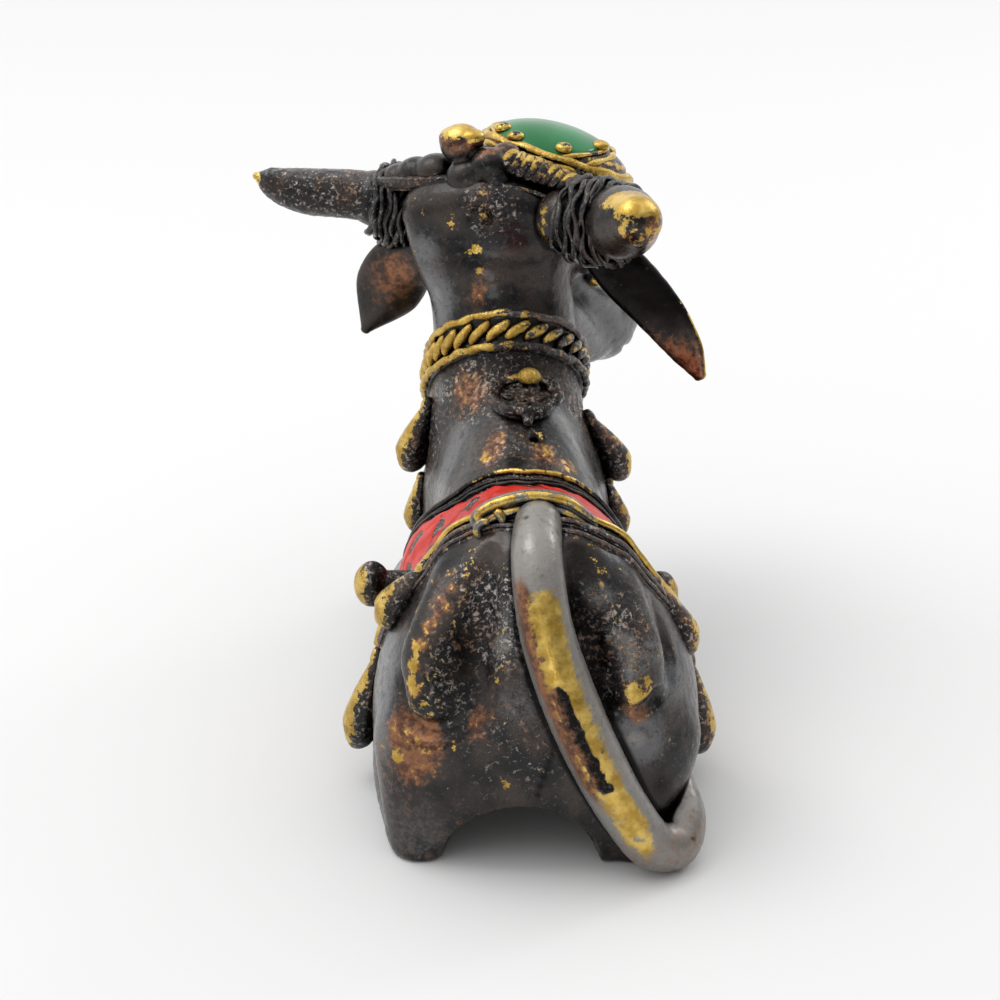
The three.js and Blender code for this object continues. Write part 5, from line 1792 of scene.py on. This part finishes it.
# %% The colour of the brass, from the lacquer up
def lacquer_colour(kit, mask):
    """Brown to black, painted sheen in slate and silver, black in its pits and, as lacquer and painted shade, in
    the hollows.
    """
    lacquer = kit.blend(kit.ramp(mask.coarse, 0.38, 0.62), BROWN, BLACK)
    # painted sheen: slate, and silver where it is strong, where the lacquer would show grey reflections
    painted_sheen = kit.ramp(kit.plus(mask.sheen, kit.times(mask.broken, 0.6)), 0.1, 0.8)
    sheen_grey = kit.blend(kit.ramp(mask.sheen, 1.0, 1.5), SHEEN_SLATE, SHEEN_SILVER)
    lacquer = kit.blend(kit.times(painted_sheen, mask.lit), lacquer, sheen_grey)
    pits = kit.ramp(kit.plus(mask.middle, kit.times(mask.grit, 0.2)), 0.55, 0.66)
    pit_depth = kit.times(mask.calm, kit.ramp(mask.sheen, 0.6, 1.4, 0.85, 0.45))
    lacquer = kit.blend(kit.times(pits, pit_depth), lacquer, BLACK)
    # painted shade: hollows and dark spots go black, with the lacquer held there
    return kit.blend(mask.dark, lacquer, BLACK)


def brass_colour(kit, mask):
    lacquer = lacquer_colour(kit, mask)
    tint = kit.blend(kit.ramp(mask.middle, 0.36, 0.64), DARK_COPPER, COPPER)
    colour = kit.blend(mask.copper, lacquer, tint)
    # the painted glints go over the colour
    spark = kit.blend(kit.ramp(mask.coarse, 0.42, 0.58), WARM_GLINT, GLINT)
    colour = kit.blend(mask.glints, colour, spark)
    yellow = kit.blend(kit.ramp(kit.noise(1.1, 3, 0.55), 0.35, 0.65), GOLD, PALE_GOLD)
    return kit.blend(mask.gold, colour, yellow)


# %% The whole brass: colour, metal, roughness and fine relief
def brass(name, gold_lift=0.0):
    """Patinated brass. gold_lift lets more of the yellow metal show."""
    kit = Nodes(name)
    mask = brass_masks(kit, gold_lift)
    colour = brass_colour(kit, mask)
    metal = kit.most(mask.gold, kit.times(mask.copper, 0.85))
    # dark places become black metal that reflects nothing, so their painted shade also dims the reflections
    metal = kit.most(kit.most(metal, mask.glints), mask.dark)
    metal = kit.ramp(metal, 0.0, 1.0, 0.45, 0.97)
    roughness = kit.ramp(mask.middle, 0.35, 0.65, 0.2, 0.4)
    roughness = kit.plus(roughness, kit.times(mask.soft, 0.12))
    roughness = kit.plus(roughness, kit.times(mask.dark, 0.15))
    rugged = kit.ramp(kit.times(mask.grit, mask.calm), 0.0, 0.8, 0.12, 1.0)
    relief = kit.times(mask.specks, rugged)
    fine_relief = kit.times(mask.fine, kit.times(mask.calm, 0.12))
    relief = kit.plus(relief, fine_relief)
    normal = kit.bump(mask.middle, 0.035, 0.7, kit.bump(relief, 0.17, 1.0))
    skin = {"Base Color": colour, "Metallic": metal, "Roughness": roughness, "Normal": normal}
    return kit.shade({**skin, "Coat Weight": 0.2, "Coat Roughness": 0.14})


# %% [markdown]
# Enamel is glass, so it isn't metal, and its gloss comes from the shader's own reflection and a thin coat.
# The red one has brush marks, chips and the dark pits of the mesh. The green one is smooth and deep.

# %% The enamels
RED, BRIGHT_RED = (0.50, 0.012, 0.006), (0.68, 0.027, 0.013)
PIT_BLACK, CHIP_BROWN = (0.02, 0.006, 0.006), (0.06, 0.02, 0.015)
GREEN, BRIGHT_GREEN = (0.019, 0.165, 0.055), (0.027, 0.215, 0.075)


def red_enamel():
    kit = Nodes("red_enamel")
    fine, middle = kit.noise(0.25, 3, 0.6), kit.noise(0.9, 3, 0.5)
    chips = kit.ramp(kit.plus(middle, kit.times(kit.attribute("hollow"), 0.12)), 0.66, 0.7)
    colour = kit.blend(kit.ramp(middle, 0.3, 0.7), RED, BRIGHT_RED)
    colour = kit.blend(kit.times(kit.attribute("pit"), 0.97), colour, PIT_BLACK)
    colour = kit.blend(kit.times(chips, 0.9), colour, CHIP_BROWN)
    gloss = {"Roughness": 0.38, "Specular IOR Level": 0.3, "Coat Weight": 0.08, "Coat Roughness": 0.12}
    return kit.shade({"Base Color": colour, "Normal": kit.bump(fine, 0.025, 0.8), **gloss})


def green_enamel():
    kit = Nodes("green_enamel")
    swell = kit.noise(2.4, 2)
    colour = kit.blend(kit.ramp(swell, 0.35, 0.65), GREEN, BRIGHT_GREEN)
    gloss = {"Roughness": 0.12, "Specular IOR Level": 0.3}
    return kit.shade({"Base Color": colour, "Normal": kit.bump(swell, 0.05, 0.6), **gloss})


finishes = {
    "patinated_brass": brass("patinated_brass"),
    "rubbed_brass": brass("rubbed_brass", 0.22),
    "red_enamel": red_enamel(),
    "green_enamel": green_enamel(),
}
print("finishes:", list(finishes))

# %% [markdown]
# ## Wear, painted shade and painted sheen that belong to one piece
# Bells are rubbed on their outer sides, the tail along its back, the horns at their tips. Some pieces also
# get painted light: painted shade on the bells' inner sides, the upper right ear and in the creases of hair
# and collar, grey painted sheen on the tail, the scroll, the muzzle and on ridges, and a painted highlight on
# the left horn's top. A function for each kind of piece adds to what the shape gave: x, y and z run left,
# towards the rump and up, and edge is -1 in a crease and 1 on a ridge.

# %% What the functions of wear, painted shade and painted sheen read and change
class Place:
    """Where each point of a piece lies, which way it faces, and how much of an edge it is."""

    def __init__(self, points, normals, proud):
        self.points, self.normals = points, normals
        self.x, self.y, self.z = points.T
        self.edge = np.clip(proud / 0.1, -1, 1)
        self.ridge = np.clip(self.edge, 0, 1)


def at_least(values, kind, level):
    values[kind] = np.maximum(values[kind], level)


# %% Bells, bosses, body and head
def bell_wear_and_shade(at, values):
    side = np.sign(at.x.mean() - 0.5)
    outward = np.clip(at.normals[:, 0] * side, -0.4, 1)
    values["gold"] += 1.2 * outward - (0.33 if side > 0 else 0.68)
    values["copper"] += 0.7 * outward - (0.15 if side > 0 else 0.0)
    # painted shade: the side turned towards the hide goes black
    at_least(values, "dark", smooth_step(0.15, -0.2, outward))
    at_least(values, "grit", 0.6)


def wear_body(at, values):
    """No yellow low down, where nothing rubs."""
    values["gold"] -= 0.7 * smooth_step(6, 3, at.z)


def muzzle_sheen(at, values):
    """Grey painted sheen on the side of the muzzle."""
    muzzle = smooth_step(-3.5, -5.0, at.x) * smooth_step(-13, -15, at.y) * smooth_step(29.5, 27.5, at.z)
    at_least(values, "sheen", muzzle * (0.45 + 0.65 * smooth_step(26.5, 24.5, at.z)))


# %% Horns, their hair and the right ear
def left_horn_wear_and_highlight(at, values):
    values["gold"] += 1.2 * smooth_step(16.8, 17.7, at.x) - 0.35
    values["copper"] += 0.08
    values["grit"] += 0.3
    # painted highlight: grey on the horn's upper face, where the light catches it
    values["sheen"] += 0.5 * smooth_step(0.5, 0.9, at.normals[:, 2])


def wear_right_horn(at, values):
    top = smooth_step(0.35, 0.8, at.normals[:, 2]) * smooth_step(-4.7, -3.9, at.y)
    values["gold"] += 1.25 * top - 0.35
    values["copper"] += 0.7 * smooth_step(0.0, 0.8, -at.normals[:, 0]) * smooth_step(-4.5, -2.5, at.y)


def hair_wear_and_light(at, values):
    values["gold"] -= 0.7
    # painted highlight: grey on the ridges of the strands
    values["sheen"] += 0.3 * smooth_step(0.35, 1.0, at.edge)
    values["grit"] += 0.2
    values["copper"] -= 0.3
    # black between the strands: lacquer and painted shade
    at_least(values, "dark", 0.8 * smooth_step(0.5, 0.0, at.edge))


def right_ear_wear_and_shade(at, values):
    outer = smooth_step(0.0, 0.7, -at.normals[:, 0]) * smooth_step(27.0, 23.5, at.z)
    values["gold"] += 0.95 * outer - 0.12
    values["copper"] += 1.0 * smooth_step(25.5, 21.8, at.z) + 0.3 * outer
    # the upper ear is painted dark, partly dark lacquer and partly painted shade
    at_least(values, "dark", 0.9 * smooth_step(23.5, 26.0, at.z))


# %% The tail: a yellow band with a black streak, copper on its left, grey painted sheen elsewhere
def hump(value, middle, reach):
    """1 at the middle, falling softly to 0 beyond the reach."""
    return np.exp(-(((value - middle) / reach) ** 2))


def tail_wear_and_sheen(at, values):
    z = at.z
    line = line_through(TAIL, 200)[:150]
    across = -(at.x - np.interp(-z, -line[:, 2], line[:, 0])) / TAIL_RADIUS
    band = hump(across, 0.16, 0.62) * smooth_step(19.6, 17.6, z) * smooth_step(1.5, 5.0, z)
    blots = 0.4 * noise(at.points, 0.8, 11) + 0.25 * noise(at.points, 0.35, 12)
    streak = hump(across, -0.1, 0.34) * smooth_step(14.4, 12.6, z) * smooth_step(5.8, 7.6, z)
    streak = smooth_step(0.3, 0.7, streak + blots)
    patch = hump(across, 0.1, 0.45) * smooth_step(6.6, 5.6, z) * smooth_step(2.6, 3.6, z)
    patch = smooth_step(0.2, 1.0, patch + blots)
    ending = smooth_step(-6.2, -7.6, at.x)
    left_side = hump(across, -0.6, 0.34) * smooth_step(19.8, 18, z)
    values["soft"] += 0.6 - 0.4 * streak
    values["grit"] += streak
    values["gold"] += 1.35 * band - 1.4 * streak - 0.1 - 0.7 * patch - 0.6 * ending
    values["gold"] += 0.45 * smooth_step(7, 3, z) * np.exp(-(across**2))
    values["copper"] += 1.1 * left_side * smooth_step(4, 8, z) + 0.35 * smooth_step(5, 2.5, z)
    # painted sheen: grey over the whole tail
    values["sheen"] += 1.4
    values["dark"] = np.clip(1.1 * streak, 0, 1)


def scroll_wear_and_sheen(at, values):
    values["gold"] += 0.4 * at.edge - 0.52
    # painted sheen: grey over the scroll
    values["sheen"] += 1.2


# %% Collar, crest and cap
def collar_wear_and_light(at, values, lack):
    values["gold"] += 0.75 * smooth_step(-2.5, 4.5, at.x) - lack + 0.55 * at.edge
    # black in the creases between leaves and rims: lacquer and painted shade
    at_least(values, "dark", smooth_step(0.4, -0.2, at.edge))
    # painted sheen on the ridges
    values["sheen"] += 0.5 * at.ridge
    values["grit"] += 0.4


def wear_buds(at, values):
    values["gold"] += 1.1 * smooth_step(35.8, 36.8, at.z) - 0.5
    values["copper"] += 0.6 * smooth_step(34.8, 36.0, at.z)


def crest_wear_and_sheen(at, values, lack):
    values["gold"] += 0.6 * np.clip(at.normals[:, 2], -1, 1) - lack
    # painted sheen on the ridges
    values["sheen"] += 0.3 * at.ridge
    values["grit"] += 0.6


def wear_cap(at, values):
    values["copper"] += 0.35
    values["gold"] += 0.35 * at.edge - 0.15
    values["grit"] += 0.4


# %% Cloth and flower
def wear_front_cord(at, values):
    """Yellow only where it crosses the back."""
    values["gold"] += 1.1 * hump(at.x, -0.6, 4.2) - 0.95


def ground_wear_and_sheen(at, values):
    values["gold"] -= 0.45
    values["copper"] += 0.2
    # painted sheen on the ridges
    values["sheen"] += 0.7 * at.ridge
    values["grit"] += 0.5


def flower_wear_and_sheen(at, values):
    """The knob is bright, the ring and its curls stay dark, and their ridges get painted sheen."""
    near_knob = np.exp(-(((at.points - rosette_centre - (-0.35, -1.2, 1.1)) / 1.15) ** 2).sum(1))
    knob = near_knob * smooth_step(0.7, 1.0, at.z - rosette_centre[2])
    values["gold"] += 2.2 * knob - 0.4
    values["sheen"] += 0.6 * at.ridge
    values["hollow"] *= 1 - 0.9 * knob
    values["grit"] += 0.5


# %% Which piece gets which wear, painted shade and painted sheen
WEAR_AND_LIGHT = {
    "nandi_body": wear_body,
    "nandi_head": muzzle_sheen,
    "horn_left": left_horn_wear_and_highlight,
    "horn_right": wear_right_horn,
    "horn_hair_left": hair_wear_and_light,
    "horn_hair_right": hair_wear_and_light,
    "ear_right": right_ear_wear_and_shade,
    "tail": tail_wear_and_sheen,
    "tail_scroll": scroll_wear_and_sheen,
    "collar_rope": partial(collar_wear_and_light, lack=1.1),
    "collar_rim_upper": partial(collar_wear_and_light, lack=1.35),
    "collar_rim_lower": partial(collar_wear_and_light, lack=1.35),
    "crest_buds": wear_buds,
    "crest_rope": partial(crest_wear_and_sheen, lack=0.62),
    "crest_strap": partial(crest_wear_and_sheen, lack=1.2),
    "cap_shell": wear_cap,
    "cap_border": wear_cap,
    "cloth_front_cord": wear_front_cord,
    "cloth_ground": ground_wear_and_sheen,
    "cloth_border_cord": ground_wear_and_sheen,
    "hump_flower": flower_wear_and_sheen,
}
WEAR_AND_LIGHT.update({name: bell_wear_and_shade for name in shapes if "bell" in name or "boss" in name})
EVEN_WEAR = {
    # the same all over the piece
    "cap_rim": {"gold": -0.15},
    "cloth_front_line": {"gold": -0.75},
    "cloth_beads": {"gold": -0.75},
    "cloth_rear_cord": {"gold": 0.1},
    "cloth_hems": {"gold": 0.1},
    "ear_left": {"soft": 0.7, "copper": 0.1, "gold": -0.25},
}
print("pieces with wear of their own:", len(WEAR_AND_LIGHT) + len(EVEN_WEAR))

# %% [markdown]
# ## Dressing the shapes
# Every shape gets its wear with its painted shade and sheen, a little grain in the metal itself, and its
# finish, and rides on the cast body.
# The grain is moved into the mesh, so that it also shows in profile; the enamels stay smooth.

# %% Finish and grain of each shape
RUBBED = (
    "collar_rim", "collar_rope", "cloth_front", "cloth_rear",
    "cloth_beads", "cap_rim", "cap_beads", "crest_buds",
)
ENAMELS = {"cloth_enamel": "red_enamel", "cap_enamel": "green_enamel"}
CLAY_SHAPES = ("nandi_body", "nandi_head", "hump_flower", "crest_buds")  # they come in steps of one grain
CLAY_SMOOTHING = 3
EVEN_GRAIN = 0.02  # mm of relief, where the next line gives no other
GRAIN = {"nandi_body": 0.05, "nandi_head": 0.045, "tail": 0.035, "horn_left": 0.05, "ear_right": 0.05}


def finish_of(name):
    return ENAMELS.get(name, "rubbed_brass" if name.startswith(RUBBED) else "patinated_brass")


def grained(name, form, normals, grit):
    """The form with the casting's grain on it, coarser where it is gritty."""
    points = form[0]
    lumps = rough(points, 0.5, 3) * 0.7 + noise(points, 0.28, 8) * (0.5 + grit)
    relief = GRAIN.get(name, EVEN_GRAIN) * lumps * (0.55 + 0.45 * grit)
    return (points + normals * relief[:, None], *form[1:])


# %% Making every piece
made = {}
for name, form in shapes.items():
    if name in CLAY_SHAPES:
        form = (relaxed(form, form[0], CLAY_SMOOTHING), *form[1:])
    values, normals, proud = wear_shade_and_sheen(form)
    if name in WEAR_AND_LIGHT:
        WEAR_AND_LIGHT[name](Place(form[0], normals, proud), values)
    for kind, amount in EVEN_WEAR.get(name, {}).items():
        values[kind] += amount
    if name == "cloth_enamel":
        values["pit"] = enamel_pits()
    if name not in ENAMELS:
        form = grained(name, form, normals, values["grit"])
    slot_name = finish_of(name)
    thing = make_mesh(name, form, values, finishes[slot_name])
    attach(thing, "root")
    if name == "nandi_body":
        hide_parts("nandi")
    made[name] = thing
print("pieces:", len(made), "most faces:", max(len(thing.data.polygons) for thing in made.values()))

# %% [markdown]
# ## The studio
# The figure stands on white paper that reaches past the edge of the picture. It is stage, and no part of
# the figure, so it is declared as that.

# %% The floor
FLOOR_REACH = 6  # metres from the middle to each side
FLOOR_SIGNS = [(-1, -1), (1, -1), (1, 1), (-1, 1)]
floor_mesh = bpy.data.meshes.new("floor")
floor_corners = [(x * FLOOR_REACH, y * FLOOR_REACH, 0) for x, y in FLOOR_SIGNS]
floor_mesh.from_pydata(floor_corners, [], [(0, 1, 2, 3)])
floor = bpy.data.objects.new("floor", floor_mesh)
bpy.context.scene.collection.objects.link(floor)
paper = bpy.data.materials.new("paper")
paper.use_nodes = True
paper_shader = paper.node_tree.nodes["Principled BSDF"].inputs
paper_shader["Base Color"].default_value = (0.8, 0.8, 0.8, 1)
paper_shader["Roughness"].default_value = 0.95
paper_shader["Specular IOR Level"].default_value = 0.0
floor_mesh.materials.append(paper)
floor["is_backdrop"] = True
print("floor, m:", 2 * FLOOR_REACH)

# %% [markdown]
# A large soft lamp high on the image's left throws the shadow to the right. A small one glances along the
# far side, and a weak one near the viewer lifts the rump. Discs leave round highlights on the rubbed metal.

# %% The lamps
LAMPS = {
    # place in mm, power in watts, width in mm
    "key": ((150, -40, 290), 0.27, 190),
    "glance": ((-170, -120, 130), 0.05, 60),
    "fill": ((40, 200, 30), 0.024, 45),
}
LAMPS_LOOK_AT = Vector((0, 0, 12))
for name, (place, power, width) in LAMPS.items():
    light = bpy.data.lights.new(name, "AREA")
    light.shape = "DISK"
    light.size = width * MM
    light.energy = power
    thing = bpy.data.objects.new(name, light)
    thing.location = Vector(place) * MM
    thing.rotation_euler = (LAMPS_LOOK_AT - Vector(place)).to_track_quat("-Z", "Y").to_euler()
    bpy.context.scene.collection.objects.link(thing)
print("lamps:", list(LAMPS))

# %% [markdown]
# Metal shows what stands round it. A picture of a studio would do, but a plain gradient is enough: the air
# is bright above and beyond the bull, and dimmer low down behind the viewer.

# %% The air
air = bpy.data.worlds.new("air")
air.use_nodes = True
BRIGHT_SIDE = unit(np.array([0.3, -0.5, 0.8]))
nodes, links = air.node_tree.nodes, air.node_tree.links
direction = nodes.new("ShaderNodeTexCoord").outputs["Generated"]
facing = nodes.new("ShaderNodeVectorMath")
facing.operation = "DOT_PRODUCT"
facing.inputs[1].default_value = BRIGHT_SIDE
links.new(direction, facing.inputs[0])
brightness = nodes.new("ShaderNodeMapRange")
brightness.interpolation_type = "SMOOTHSTEP"
AIR = {"From Min": -0.15, "From Max": 0.65, "To Min": 0.25, "To Max": 1.2}
for socket, value in AIR.items():
    brightness.inputs[socket].default_value = value
links.new(facing.outputs["Value"], brightness.inputs["Value"])
links.new(brightness.outputs["Result"], nodes["Background"].inputs["Strength"])
nodes["Background"].inputs["Color"].default_value = (1, 1, 1, 1)
bpy.context.scene.world = air
bpy.context.scene.view_settings.view_transform = "Standard"

# %% [markdown]
# ## Measuring
# Last, the figure's box is measured and kept beside the cast solid's, and printed.

# %% Measure and finish
bpy.context.view_layer.update()
sizes = {"solid": [list(corner) for corner in solid_box], "visual": [list(corner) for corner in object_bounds()]}
print("visual box, mm:", [[round(c / MM, 2) for c in corner] for corner in sizes["visual"]])
